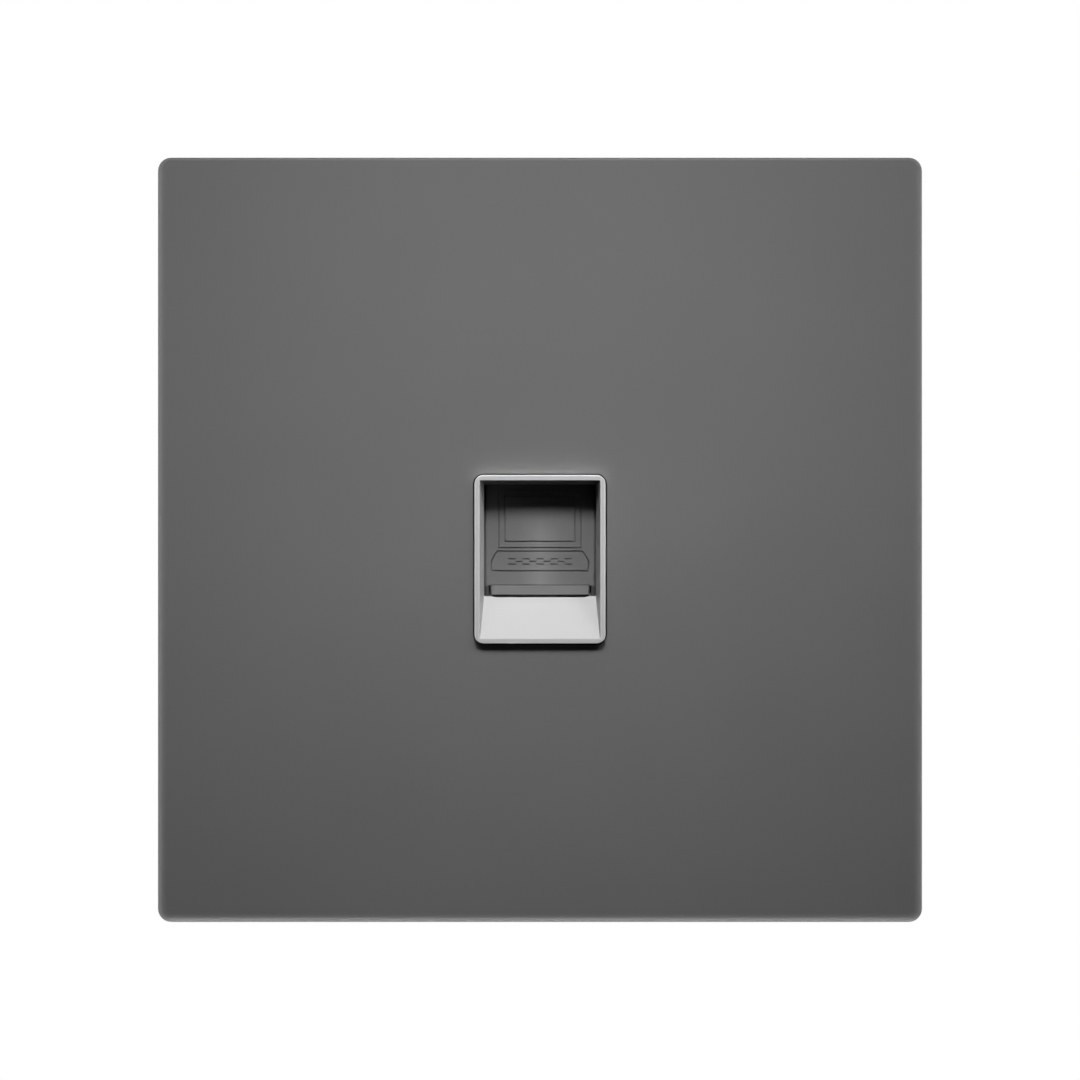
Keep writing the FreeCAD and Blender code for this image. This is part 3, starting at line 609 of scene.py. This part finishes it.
face_half = shutter_half - tongue_width
shutter_face = shutter_back - shutter_thickness
tongue_front = shutter_back - tongue_thickness
face_edge = shutter_face + crown_radius - sqrt(crown_radius ** 2 - face_half ** 2)
lip_bottom = shutter_bottom + lip_above_bottom
lip_top = lip_bottom + lip_height
groove_end = lip_half + corner_groove_width


def groove_stations(places, width):
    """Grid lines at the top and the foot of both walls of a groove at each place."""
    steps = [side * width / 2 + foot * engraved_wall / 2 for side in (-1, 1) for foot in (-1, 1)]
    return [place + step for place in places for step in steps]


def engraved_sign(across, level):
    """1 in the sign's grooves and 0 beside them, on columns counted from the middle and rows by height.
    A frame is a rectangle half a groove larger than itself less one half a groove smaller; the keys are bars,
    half as long as their pitch, on three rows, the middle row set over by half a pitch."""
    aside = np.abs(across)
    half = engraved_width / 2
    sign = np.zeros(np.broadcast(across, level).shape)
    frames = (screen_outer, screen_inner, (screen_outer[0], *keyboard_levels))
    for half_width, low, high in frames:
        outer = inside(aside, half_width + half, engraved_wall)
        outer = outer * within(level, low - half, high + half, engraved_wall)
        inner = inside(aside, half_width - half, engraved_wall)
        inner = inner * within(level, low + half, high - half, engraved_wall)
        sign = np.maximum(sign, outer - inner)
    for row, shift, reach in key_rows:
        from_key = np.abs((across / key_pitch + shift + 0.5) % 1.0 - 0.5) * key_pitch
        bars = inside(from_key, key_pitch / 4, engraved_wall) * (aside < reach)
        on_row = within(level, row - key_thickness / 2, row + key_thickness / 2, engraved_wall)
        sign = np.maximum(sign, bars * on_row)
    return sign


def shutter_slide():
    """Rings round the slide, one for each height: the front runs over the engraved columns and the back round
    the two tongues. The front's depth is the crown, radius - sqrt(radius² - x²), plus a chamfer along each
    side, plus the engraving and, below the lip's top, the grooves beside the lip and the set-back corners. It
    leaves at least the least thickness. Columns shift sideways with height so that the screen's outline runs
    on along the keyboard's slanted ends."""
    key_ends = [(2 * step + 1) * key_pitch / 4 for step in range(key_end_count)]
    right = np.unique(np.round(np.concatenate([
        np.linspace(0, face_half, face_columns),
        np.arange(screen_outer[0] + side_column_gap, face_half, side_column_step),
        [end + side * engraved_wall / 2 for end in key_ends for side in (-1, 1)],
        groove_stations([screen_outer[0], screen_inner[0]], engraved_width),
        [place + side * engraved_wall / 2 for place in (lip_half, groove_end) for side in (-1, 1)],
    ]), grid_decimals))
    across = np.concatenate([-right[:0:-1], right])
    level = np.unique(np.round(np.concatenate([
        np.linspace(shutter_bottom, shutter_top, face_rows),
        groove_stations([*screen_outer[1:], *screen_inner[1:], *keyboard_levels], engraved_width),
        groove_stations([row[0] for row in key_rows], key_thickness),
        outline_levels,
        groove_stations([lip_top + lip_line_width / 2], lip_line_width),
    ]), grid_decimals))[:, None]

    shift = np.interp(level, outline_levels, outline_halves) - screen_outer[0]
    aside = np.abs(across)
    groove_low, groove_high = slant_groove
    stretched = np.where(
        aside < groove_low,
        aside + shift * np.clip((aside - slant_start) / (groove_low - slant_start), 0, 1),
        aside + shift * np.clip((face_half - aside) / (face_half - groove_high), 0, 1),
    )
    front_x = np.sign(across) * stretched
    front_y = shutter_face + crown_radius - np.sqrt(crown_radius ** 2 - front_x ** 2)
    front_y += side_chamfer_slope * np.clip(np.abs(front_x) - side_chamfer_start, 0, side_chamfer_width)
    lip_line = within(level, lip_top, lip_top + lip_line_width, engraved_wall)
    lip_line = lip_line * inside(aside, lip_half, engraved_wall)
    front_y = front_y + engraved_depth * np.maximum(engraved_sign(across, level), lip_line)
    below = inside(level, lip_top, engraved_wall)
    groove = below * within(aside, lip_half, groove_end, engraved_wall)
    corner = below * (1 - inside(aside, groove_end, engraved_wall))
    front_y = front_y + corner * corner_slope * (lip_top - level)
    front_y = front_y + groove * (face_edge + corner_groove_depth - front_y)
    front_y = np.minimum(front_y, shutter_back - least_thickness)
    drop = corner_relief_drop * np.clip((aside - groove_end) / (face_half - groove_end), 0, 1)
    drop_levels = [shutter_bottom, lip_top - corner_relief_height, lip_top + engraved_wall]
    drop_share = np.interp(level, drop_levels, [0, 1, 1])
    front_z = level - drop * drop_share * (level < lip_top + engraved_wall)

    back = [
        (face_half, tongue_front), (shutter_half, tongue_front), (shutter_half, shutter_back),
        (-shutter_half, shutter_back), (-shutter_half, tongue_front), (-face_half, tongue_front),
    ]
    columns = len(across)
    rings = np.empty((len(level), columns + len(back), 3))
    rings[:, :columns] = np.stack([front_x, front_y, front_z], axis=-1)
    rings[:, columns:, :2] = back
    rings[:, columns:, 2] = level
    return skin(rings)


def stepped_in(half_x, half_z, radius, centre=(0.0, 0.0), stations=()):
    """A function that gives a rounded rectangle's outline about its centre, stepped in by any distance."""
    def outline(inset):
        loop = rounded_loop(half_x - inset, half_z - inset, radius - inset, centre[1], stations)
        return loop + (centre[0], 0.0)

    return outline


def soft_slab(outline, low, high, edge, axes):
    """A slab with softened rims: its outline is stepped in by edge · (1 - sin a) while the level runs
    edge · (1 - cos a) from each face. The axes give the places of x, y and z among outline and level."""
    rim_steps = 4
    turns = np.linspace(0, pi / 2, rim_steps)
    steps = [(edge * (1 - sin(a)), low + edge * (1 - cos(a))) for a in turns]
    steps += [(inset, high - (level - low)) for inset, level in reversed(steps)]
    rings = []
    for inset, level in steps:
        loop = outline(inset)
        rings.append(np.column_stack([loop, np.full(len(loop), level)])[:, axes])
    return skin(np.stack(rings))


def fused(name, shells, finish, smooth_angle):
    """One closed solid from overlapping closed shells: the first is joined with each other one in turn."""
    bodies = []
    for shell in shells:
        shape = shell_mesh([shell])
        mesh = bpy.data.meshes.new("shell")
        shape.to_mesh(mesh)
        shape.free()
        body = bpy.data.objects.new("shell", mesh)
        bpy.context.scene.collection.objects.link(body)
        bodies.append(body)
    for other in bodies[1:]:
        union = bodies[0].modifiers.new("union", "BOOLEAN")
        union.operation = "UNION"
        union.solver = "MANIFOLD"
        union.object = other
    shape = bmesh.new()
    shape.from_object(bodies[0], bpy.context.evaluated_depsgraph_get())
    for body in bodies:
        bpy.data.meshes.remove(body.data)
    return finish_piece(name, shape, finish, smooth_angle)


def painted_sheen_plastic(name, side_grey, painted_sheen_grey, roughness):
    """Dark plastic with a painted sheen, a lighter grey that stands in for light: its share falls straight
    from 1 on the middle line to 0 at the sheen's half width, fades out between the two sheen levels towards
    the top, and is 1 on the lip. Painted light also makes both greys lighter, by the foot light share at most,
    from the lower sheen level down to the lip."""
    grain_size = 0.12
    grain_depth = 0.001
    grain_haze = 0.10
    finish, shader, start = new_finish(name)
    place = start.place()
    across = place.axis("X").size()
    level = place.axis("Z") * (1 / millimetre)
    in_middle = (1.0 - across * (1 / painted_sheen_half / millimetre)).held()
    below_top = ((painted_sheen_levels[1] - level) * (1 / (painted_sheen_levels[1] - painted_sheen_levels[0]))).held()
    near_foot = ((painted_sheen_levels[0] - level) * (1 / (painted_sheen_levels[0] - lip_top))).held()
    on_lip = ((lip_top - level) * (1 / engraved_wall)).held()
    painted_sheen = start.math("MAXIMUM", in_middle * below_top, on_lip)
    # Painted light: both greys grow lighter from the lower sheen level down to the lip.
    painted_foot_lift = near_foot * (1 - on_lip) * painted_foot_light + 1.0
    grain = cloud(start, place, grain_size, detail=3.0)
    start.feed(shader, {
        "Base Color": (painted_sheen * (painted_sheen_grey - side_grey) + side_grey) * painted_foot_lift,
        "Roughness": (grain - cloud_middle) * grain_haze + roughness,
        "Specular IOR Level": shutter_gloss,
        "Normal": grain.relief(grain_depth),
    })
    return finish


upright = [0, 1, 2]
slide_middle = (shutter_face + shutter_back) / 2
lip_front = shutter_face - lip_reach
lip_middle = (lip_front + shutter_back - lip_back_inset) / 2
lip_outline = stepped_in(lip_half, lip_middle - lip_front, lip_end_radius, (0.0, lip_middle))
rail_outline = stepped_in(shutter_half, shutter_thickness / 2, rail_corner, (0.0, slide_middle))
shutter_shells = [
    shutter_slide(),
    soft_slab(lip_outline, lip_bottom, lip_top, lip_edge, upright),
    soft_slab(rail_outline, shutter_top - rail_height, shutter_top, rail_edge, upright),
]
for centre_x in (-peg_spacing / 2, peg_spacing / 2):
    peg_outline = stepped_in(peg_radius, peg_radius, peg_radius, (centre_x, slide_middle))
    shutter_shells.append(soft_slab(peg_outline, shutter_top - peg_root, peg_top, peg_edge, upright))

# The shutter's colour carries a painted sheen down the middle of the face and on the lip, and painted light
# that grows towards the lip.
shutter_grey = painted_sheen_plastic("shutter_grey", side_grey=0.149, painted_sheen_grey=0.202, roughness=0.45)
dust_shutter = fused("dust_shutter", shutter_shells, shutter_grey, smooth_angle=35)
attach(dust_shutter, "shutter")
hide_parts("shutter")

# Bezel: the light silver-grey moulding round the port, lacquered over a white undercoat. Its sleeve stands
# a little proud of the cover and tapers inwards to the shutter, with a finger ramp below. Its flange lies
# between the cover and the carrier, and four pegs hold it in place.
bezel_low, bezel_high = [np.array(corner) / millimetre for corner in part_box("port_bezel")]
bezel_front = bezel_low[1]
carrier_front = -6.0
flange_thickness = 1.1
flange_half = bezel_high[0]
flange_radius = 1.0
flange_edge = 0.1
sleeve_half = (7.36, 9.465)
sleeve_centre = (0.0, -2.175)
sleeve_radius = 1.0
sleeve_edge = 0.12
rim_width = 0.6
rim_face_depth = 0.02
# Painted shade along the rim's middle line: its half width and share.
rim_shade_half = 0.22
rim_shade_share = 0.22
# The part of the sleeve's outer edge round that takes the white as a painted highlight.
edge_highlight_share = 0.3
proud_height = 1.0
mouth_edge = 0.05
mouth_corner = 0.10
window_half = 6.3
window_low = -6.32
window_high = 6.26
ramp_relief = 0.14
ramp_relief_half = 5.0
ramp_relief_run = 0.6
bezel_peg_radius = 0.8
bezel_peg_inset = 1.425
bezel_peg_inset_z = 1.9
bezel_peg_edge = 0.15
tiny = 1e-6
# Painted shade on faces turned down or to the left.
shade_slope = 4.0
shade_offset = 2.0
left_shade_share = 0.58
lacquer_gloss = 0.3
ramp_relief_end = ramp_relief_half + ramp_relief_run
bezel_stations = (-ramp_relief_end, -ramp_relief_half, ramp_relief_half, ramp_relief_end)
flange_front = carrier_front - flange_thickness
peg_end = bezel_high[1]


def at_depth(loop, level):
    """An (x, z) outline as a ring of points at one depth."""
    return np.column_stack([loop[:, 0], np.full(len(loop), level), loop[:, 1]])


def rounded_rim(outline, level, step_in, step_back, turns):
    """Rings over a quarter round, one for each turn a: the outline is stepped in by step_in · (1 - sin a) and
    lies step_back · (1 - cos a) behind the level."""
    return [at_depth(outline(step_in * (1 - sin(a))), level + step_back * (1 - cos(a))) for a in turns]


def bezel_rings():
    """Rings from the window at the back, out along the tapered mouth to the front, over the rounded rim, back
    along the sleeve and round the flange to the window again, so that the last joins the first. Along the
    middle of the sill the window is lowered by the ramp's relief."""
    mouth_half = [half - rim_width for half in sleeve_half]
    mouth = stepped_in(*mouth_half, mouth_corner, sleeve_centre, bezel_stations)
    sleeve = stepped_in(*sleeve_half, sleeve_radius, sleeve_centre, bezel_stations)
    flange_half_z = (bezel_high[2] - bezel_low[2]) / 2
    flange_centre = (0.0, (bezel_high[2] + bezel_low[2]) / 2)
    flange = stepped_in(flange_half, flange_half_z, flange_radius, flange_centre, bezel_stations)
    window_centre = (window_high + window_low) / 2
    window_half_z = (window_high - window_low) / 2
    window = rounded_loop(window_half, window_half_z, mouth_corner, window_centre, bezel_stations)
    lowered = window.copy()
    on_sill = lowered[:, 1] < window_low + tiny
    relief = np.interp(np.abs(lowered[:, 0]), [ramp_relief_half, ramp_relief_end], [ramp_relief, 0.0])
    lowered[:, 1] -= on_sill * relief
    funnel_depth = carrier_front - bezel_front
    sill_share = ramp_relief / (window_low - (sleeve_centre[1] - sleeve_half[1] + rim_width))
    sill = window + (mouth(0.0) - window) * sill_share
    sill[on_sill, 1] = np.where(relief[on_sill] < tiny, sill[on_sill, 1], lowered[on_sill, 1])

    edge_steps = 6
    turns = np.linspace(0, pi / 2, edge_steps)
    rings = [at_depth(lowered, carrier_front), at_depth(sill, carrier_front - sill_share * funnel_depth)]
    rings += rounded_rim(mouth, bezel_front, -mouth_edge, mouth_edge, turns[::-1])
    rings += rounded_rim(sleeve, bezel_front, sleeve_edge, sleeve_edge, turns)
    rings += [at_depth(sleeve(0), flange_front), at_depth(flange(flange_edge), flange_front)]
    flange_wall = (flange_front + flange_edge, carrier_front - flange_edge)
    rings += [at_depth(flange(0), level) for level in flange_wall]
    rings += [at_depth(flange(flange_edge), carrier_front)]
    return skin(np.stack(rings), closed=True)


def lacquer_with_painted_shade(name, lacquer, painted_shade_grey, undercoat_and_edge_highlight, painted_gap_shade, roughness):
    """Dark plastic with a white undercoat and a silver-grey lacquer, with light and shade painted into its
    colour:
    painted shade turns the lacquer to the darker shade grey where the surface faces down or to the left, and a
    little along the rim's middle line. Outside that line, by the distances across, above and below it, the
    white undercoat covers the sleeve's top and side walls and, as a painted highlight, its outer edge, and
    painted shade darkens the plastic behind the cover's face, in the gap. Grains vary the lacquer by the spray
    tint and the roughness by the spray haze."""
    spray_size = 0.05
    spray_tint = 0.02
    spray_haze = 0.06
    finish, shader, start = new_finish(name)
    place = start.place()
    facing = start.facing()
    across, depth, level = [place.axis(letter) for letter in "XYZ"]
    grain = cloud(start, place, spray_size, detail=2.0)
    middle_line = [(half - rim_width / 2) * millimetre for half in sleeve_half]
    raised = level - sleeve_centre[1] * millimetre
    beyond = start.math("MAXIMUM", across.size() - middle_line[0], raised - middle_line[1])
    outside = start.math("MAXIMUM", beyond, -middle_line[1] - raised)
    # The white undercoat on the sleeve's top and side walls, and as a painted highlight on its outer edge.
    walls_and_painted_edge = beyond.over(0.0) * depth.over((bezel_front + edge_highlight_share * sleeve_edge) * millimetre)
    # Painted shade: the sleeve's walls behind the cover's face, in the gap, are made nearly black.
    gap_shade_mask = outside.over(0.0) * depth.over((bezel_front + proud_height) * millimetre)
    on_rim = 1 - depth.over((bezel_front + rim_face_depth) * millimetre)
    rim_middle = (1.0 - outside.size() * (1 / (rim_shade_half * millimetre))).held() * on_rim
    # Painted shade: darker where the surface faces down or to the left, and along the rim's middle line.
    facing_down = (facing.axis("Z") * -shade_slope - shade_offset).held()
    facing_left = (facing.axis("X") * -shade_slope - shade_offset).held()
    painted_shade = (facing_down + facing_left * left_shade_share + rim_middle * rim_shade_share).held()
    silver = grain.mix(shade(lacquer, -spray_tint), shade(lacquer, spray_tint))
    coated = walls_and_painted_edge.mix(painted_shade.mix(silver, shade(painted_shade_grey, 0.0)), shade(undercoat_and_edge_highlight, 0.0))
    start.feed(shader, {
        "Base Color": gap_shade_mask.mix(coated, shade(painted_gap_shade, 0.0)),
        "Roughness": (grain - cloud_middle) * spray_haze + roughness,
        "Specular IOR Level": lacquer_gloss,
    })
    return finish


facing_out = [0, 2, 1]
peg_start = carrier_front - flange_thickness / 2
peg_levels = (bezel_low[2] + bezel_peg_inset_z, bezel_high[2] - bezel_peg_inset_z)
peg_across = flange_half - bezel_peg_inset
bezel_shells = [bezel_rings()]
for centre in [(x, z) for x in (-peg_across, peg_across) for z in peg_levels]:
    peg_outline = stepped_in(bezel_peg_radius, bezel_peg_radius, bezel_peg_radius, centre)
    bezel_shells.append(soft_slab(peg_outline, peg_start, peg_end, bezel_peg_edge, facing_out))
# The bezel's colour carries painted shade on faces turned down or to the left, along the rim's middle line and
# in the gap behind the cover, and a painted highlight on the sleeve's outer edge.
bezel_silver = lacquer_with_painted_shade(
    "bezel_silver", lacquer=(0.55, 0.55, 0.555), painted_shade_grey=(0.15, 0.15, 0.15),
    undercoat_and_edge_highlight=(0.92, 0.92, 0.92), painted_gap_shade=(0.06, 0.06, 0.06), roughness=0.40,
)
bezel = fused("silver_bezel", bezel_shells, bezel_silver, smooth_angle=30)
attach(bezel, "socket")
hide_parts("port_bezel")

# Cover plate: the dark grey square that hides the frame. It is moulded in satin polycarbonate as a shallow
# tray with a rolled front edge and an opening for the bezel, and snaps onto the frame by eight clips behind
# its edges.
cover_low, cover_high = [np.array(corner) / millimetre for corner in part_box("cover_plate")]
cover_half = cover_high[0]
cover_front = cover_low[1]
cover_rim = cover_high[1]
cover_corner = 1.5
cover_roll = 1.1
top_roll = 0.35
cover_skin = 1.8
cover_wall = 1.8
cover_inner_radius = 0.4
cover_inner_half = cover_half - cover_wall
skin_back = cover_front + cover_skin
opening_gap = 0.165
opening_edge = 0.03
flat_border = 0.3
rim_edge = 0.15
notch_half = 5.0
notch_depth = 1.4
notch_wall = 0.01
cover_stations = (-notch_half - notch_wall, -notch_half, notch_half, notch_half + notch_wall)
rib_half = 0.5
rib_height = 0.8
rib_root = 0.4
rib_corner = 0.15
rib_edge = 0.12
rib_end = 36.3
rib_across = 14.75
rib_levels = (-17.14, 27.9)
clip_offset = 22.0
clip_half = 6.0
clip_front = -4.1
clip_reach = 0.9
clip_depth = 1.2
clip_edge = 0.3


def cover_rings():
    """Rings from the opening's back edge, forward to the front face, out to the rolled edge, back along the
    outer wall to its rim, which stops short at the pry notch, and in along the inner wall and the skin's back
    again. The roll narrows to the top roll along the upper edge."""
    edge_steps = 5
    roll_steps = 17
    opening_half = [half + opening_gap for half in sleeve_half]
    opening = stepped_in(*opening_half, sleeve_radius + opening_gap, sleeve_centre, cover_stations)
    outer = stepped_in(cover_half, cover_half, cover_corner, stations=cover_stations)

    def inner(inset):
        return rounded_loop(
            cover_inner_half - inset, cover_inner_half - inset, cover_inner_radius, 0.0, cover_stations
        )

    turns = np.linspace(0, pi / 2, edge_steps)
    roll_turns = np.linspace(0, pi / 2, roll_steps)
    rings = [at_depth(opening(0), skin_back)]
    rings += rounded_rim(opening, cover_front, -opening_edge, opening_edge, turns[::-1])
    rings += [at_depth(opening(-opening_edge - flat_border), cover_front)]
    rings += [at_depth(outer(cover_roll + flat_border), cover_front)]
    edge = outer(0)
    upwards = np.clip((edge[:, 1] - cover_half + cover_corner) / cover_corner, 0, 1)
    roll_share = 1 - (1 - top_roll / cover_roll) * upwards
    for a in roll_turns:
        inset = outer(cover_roll * (1 - sin(a))) - edge
        rings.append(at_depth(edge + inset * roll_share[:, None], 0.0))
        rings[-1][:, 1] = cover_front + cover_roll * (1 - cos(a)) * roll_share
    rim = rounded_rim(outer, cover_rim, rim_edge, -rim_edge, turns[::-1])
    rim += rounded_rim(inner, cover_rim, -rim_edge, -rim_edge, turns)
    in_notch = (edge[:, 1] < -cover_half + tiny) & (np.abs(edge[:, 0]) < notch_half + tiny)
    for ring in rim:
        ring[in_notch, 1] -= notch_depth
    rings += rim + [at_depth(inner(0), skin_back)]
    return skin(np.stack(rings), closed=True)


def bar(low_corner, high_corner):
    """A straight bar behind the skin with softened edges, from one (x, z) corner to the other."""
    centre = (np.array(low_corner) + high_corner) / 2
    half_x, half_z = (np.array(high_corner) - low_corner) / 2
    outline = stepped_in(half_x, half_z, rib_corner, centre)
    return soft_slab(outline, skin_back - rib_root, skin_back + rib_height, rib_edge, facing_out)


def clip(side, offset):
    """A clip's wedge profile, carried along one side of the plate and turned to that side."""
    profile = np.array([
        (cover_inner_half + clip_edge, clip_front),
        (cover_inner_half - clip_reach, clip_front),
        (cover_inner_half - clip_reach, clip_front + clip_edge),
        (cover_inner_half, clip_front + clip_depth),
        (cover_inner_half + clip_edge, clip_front + clip_depth),
    ])
    rings = np.stack([
        np.column_stack([profile, np.full(len(profile), offset + end)]) for end in (-clip_half, clip_half)
    ])
    turn = side * pi / 2
    turned = rings.copy()
    turned[..., 0] = rings[..., 0] * cos(turn) - rings[..., 2] * sin(turn)
    turned[..., 2] = rings[..., 0] * sin(turn) + rings[..., 2] * cos(turn)
    return skin(turned)


cover_shells = [cover_rings()]
cover_shells += [bar((x - rib_half, -rib_end), (x + rib_half, rib_end)) for x in (-rib_across, rib_across)]
cover_shells += [bar((-rib_end, z - rib_half), (rib_end, z + rib_half)) for z in rib_levels]
cover_shells += [clip(side, offset) for side in range(4) for offset in (-clip_offset, clip_offset)]
cover_grey = moulded_plastic(
    "cover_grey", (0.14, 0.14, 0.14), roughness=0.58, texture=(0.10, 0.0015), gloss=0.3
)
cover = fused("satin_cover", cover_shells, cover_grey, smooth_angle=30)
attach(cover, "socket")
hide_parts("cover_plate")

# Studio: a narrow softbox close above the front and a wide one on either side of it, strips beside and below
# the cover's edges, a thin sheet of light on the sleeve's top, a small lamp for the mouth's left wall, a
# large softbox behind, a pale floor well below, and white surroundings for the camera.
scene = bpy.context.scene
scene.view_settings.view_transform = "Standard"
key_depth = 0.1936
key_aim_level = 0.006
key_boxes = (
    ("middle_softbox", (-9.5, 9.5), (35.0, 47.0), 0.0, 0.574, 0.0600),
    ("left_softbox", (-55.0, -15.0), (41.0, 56.0), -0.0192, 0.25, 0.0135),
    ("right_softbox", (15.0, 55.0), (41.0, 56.0), 0.0192, 0.25, 0.0190),
)
edge_strips = (("left_strip", -1, 0, 0.0021), ("right_strip", 1, 0, 0.0017), ("lower_strip", 0, -1, 0.0048))
strip_distance = 0.075
strip_length = 0.12
strip_lead = 1.2
strip_spread = radians(10.0)
sheet_level = 0.03
sheet_length = 0.018
sheet_depth = 0.0005
sheet_power = 0.00008
sheet_spread = radians(2.5)
kicker_place = (0.09, -0.042, 0.012)
kicker_aim = (-0.0065, -0.008, 0.0)
kicker_side = 0.012
kicker_power = 0.00011
back_place = (0.25, 0.60, 0.22)
back_aim = (0.0, 0.01, 0.0)
back_side = 0.5
back_power = 1.25
back_spread = radians(120.0)
front_ambient = 0.005
back_ambient = 0.45
behind_slope = 3.0
behind_offset = 0.2


def softbox(name, place, aim, width, height, power, spread):
    """A rectangular lamp at a place, facing an aim, which the camera doesn't see."""
    lamp = bpy.data.lights.new(name, "AREA")
    lamp.shape = "RECTANGLE"
    lamp.size = width
    lamp.size_y = height
    lamp.energy = power
    lamp.spread = spread
    box = bpy.data.objects.new(name, lamp)
    box.location = place
    box.rotation_euler = (Vector(aim) - Vector(place)).to_track_quat("-Z", "Y").to_euler()
    box.visible_camera = False
    scene.collection.objects.link(box)
    return box


for name, azimuths, elevations, aim_across, beam, power in key_boxes:
    left, right = [key_depth * tan(radians(azimuth)) for azimuth in azimuths]
    low, high = [radians(elevation) for elevation in elevations]
    rise = (low + high) / 2
    place = ((left + right) / 2, carrier_front * millimetre - key_depth, key_depth * tan(rise))
    aim = (aim_across, cover_front * millimetre, key_aim_level)
    height = 2 * key_depth / cos(rise) * tan((high - low) / 2)
    softbox(name, place, aim, right - left, height, power, 2 * atan(beam))
wall_middle = (cover_front - strip_lead + cover_rim) / 2 * millimetre
wall_depth = (cover_rim - cover_front + strip_lead) * millimetre
for name, across, upwards, power in edge_strips:
    place = Vector((across * strip_distance, wall_middle, upwards * strip_distance))
    strip = softbox(name, place, (0.0, wall_middle, 0.0), strip_length, wall_depth, power, strip_spread)
    if across:
        strip.data.size, strip.data.size_y = wall_depth, strip_length
sleeve_middle = (bezel_front + cover_front) / 2 * millimetre
sheet_place = (0.0, sleeve_middle, sheet_level)
sheet_aim = (0.0, sleeve_middle, 0.0)
softbox("sleeve_strip", sheet_place, sheet_aim, sheet_length, sheet_depth, sheet_power, sheet_spread)
softbox("right_kicker", kicker_place, kicker_aim, kicker_side, kicker_side, kicker_power, strip_spread)
softbox("back_softbox", back_place, back_aim, back_side, back_side, back_power, back_spread)

world = bpy.data.worlds.new("white_surroundings")
scene.world = world
world.use_nodes = True
sky = Tone(world.node_tree)
ray = {
    kind: sky.node("ShaderNodeLightPath", {}, {}, kind)
    for kind in ("Is Camera Ray", "Is Glossy Ray", "Is Transmission Ray")
}
direction = sky.node("ShaderNodeTexCoord", {}, {}, "Generated")
behind = (direction.axis("Y") * behind_slope + behind_offset).held()
mirrored_white = (ray["Is Glossy Ray"] + ray["Is Transmission Ray"]).held() * behind
white = (ray["Is Camera Ray"] + mirrored_white).held()
ambient = behind * (back_ambient - front_ambient) + front_ambient
sky.feed(world.node_tree.nodes["Background"], {
    "Color": (1.0, 1.0, 1.0, 1.0), "Strength": white + (1 - white) * ambient,
})

floor_level = -0.6
floor_radius = 1.5
floor_sides = 64
floor_glow = 0.9
floor_turns = np.linspace(0, 2 * pi, floor_sides, endpoint=False)
floor_mesh = bpy.data.meshes.new("pale_floor")
floor_points = np.column_stack([
    floor_radius * np.cos(floor_turns), floor_radius * np.sin(floor_turns), np.full(floor_sides, floor_level)
])
floor_mesh.from_pydata(floor_points.tolist(), [], [list(range(floor_sides))])
floor_paint, floor_shader, floor_start = new_finish("pale_floor")
floor_seen = floor_start.node("ShaderNodeLightPath", {}, {}, "Is Camera Ray")
floor_start.feed(floor_shader, {
    "Base Color": (0.85, 0.85, 0.85, 1.0),
    "Roughness": 0.9,
    "Emission Color": floor_seen.mix((0.0, 0.0, 0.0, 1.0), (1.0, 1.0, 1.0, 1.0)),
    "Emission Strength": floor_glow,
})
floor_mesh.materials.append(floor_paint)
floor = bpy.data.objects.new("pale_floor", floor_mesh)
scene.collection.objects.link(floor)
floor.visible_diffuse = False
floor.visible_glossy = False

# Camera: level with the plate's middle and straight in front of it, far off with a long lens, so that the
# plate fills the middle of the picture as it does in the photograph.
picture_width = 0.12142
camera_distance = 0.9
camera_lens = bpy.data.cameras.new("front_camera")
camera_lens.sensor_width = 36.0
camera_lens.lens = camera_lens.sensor_width * camera_distance / picture_width
camera_lens.clip_start = 0.05
camera_lens.clip_end = 20.0
camera = bpy.data.objects.new("front_camera", camera_lens)
camera.location = (0.0, cover_front * millimetre - camera_distance, 0.0)
camera.rotation_euler = (pi / 2, 0.0, 0.0)
scene.collection.objects.link(camera)
scene.camera = camera
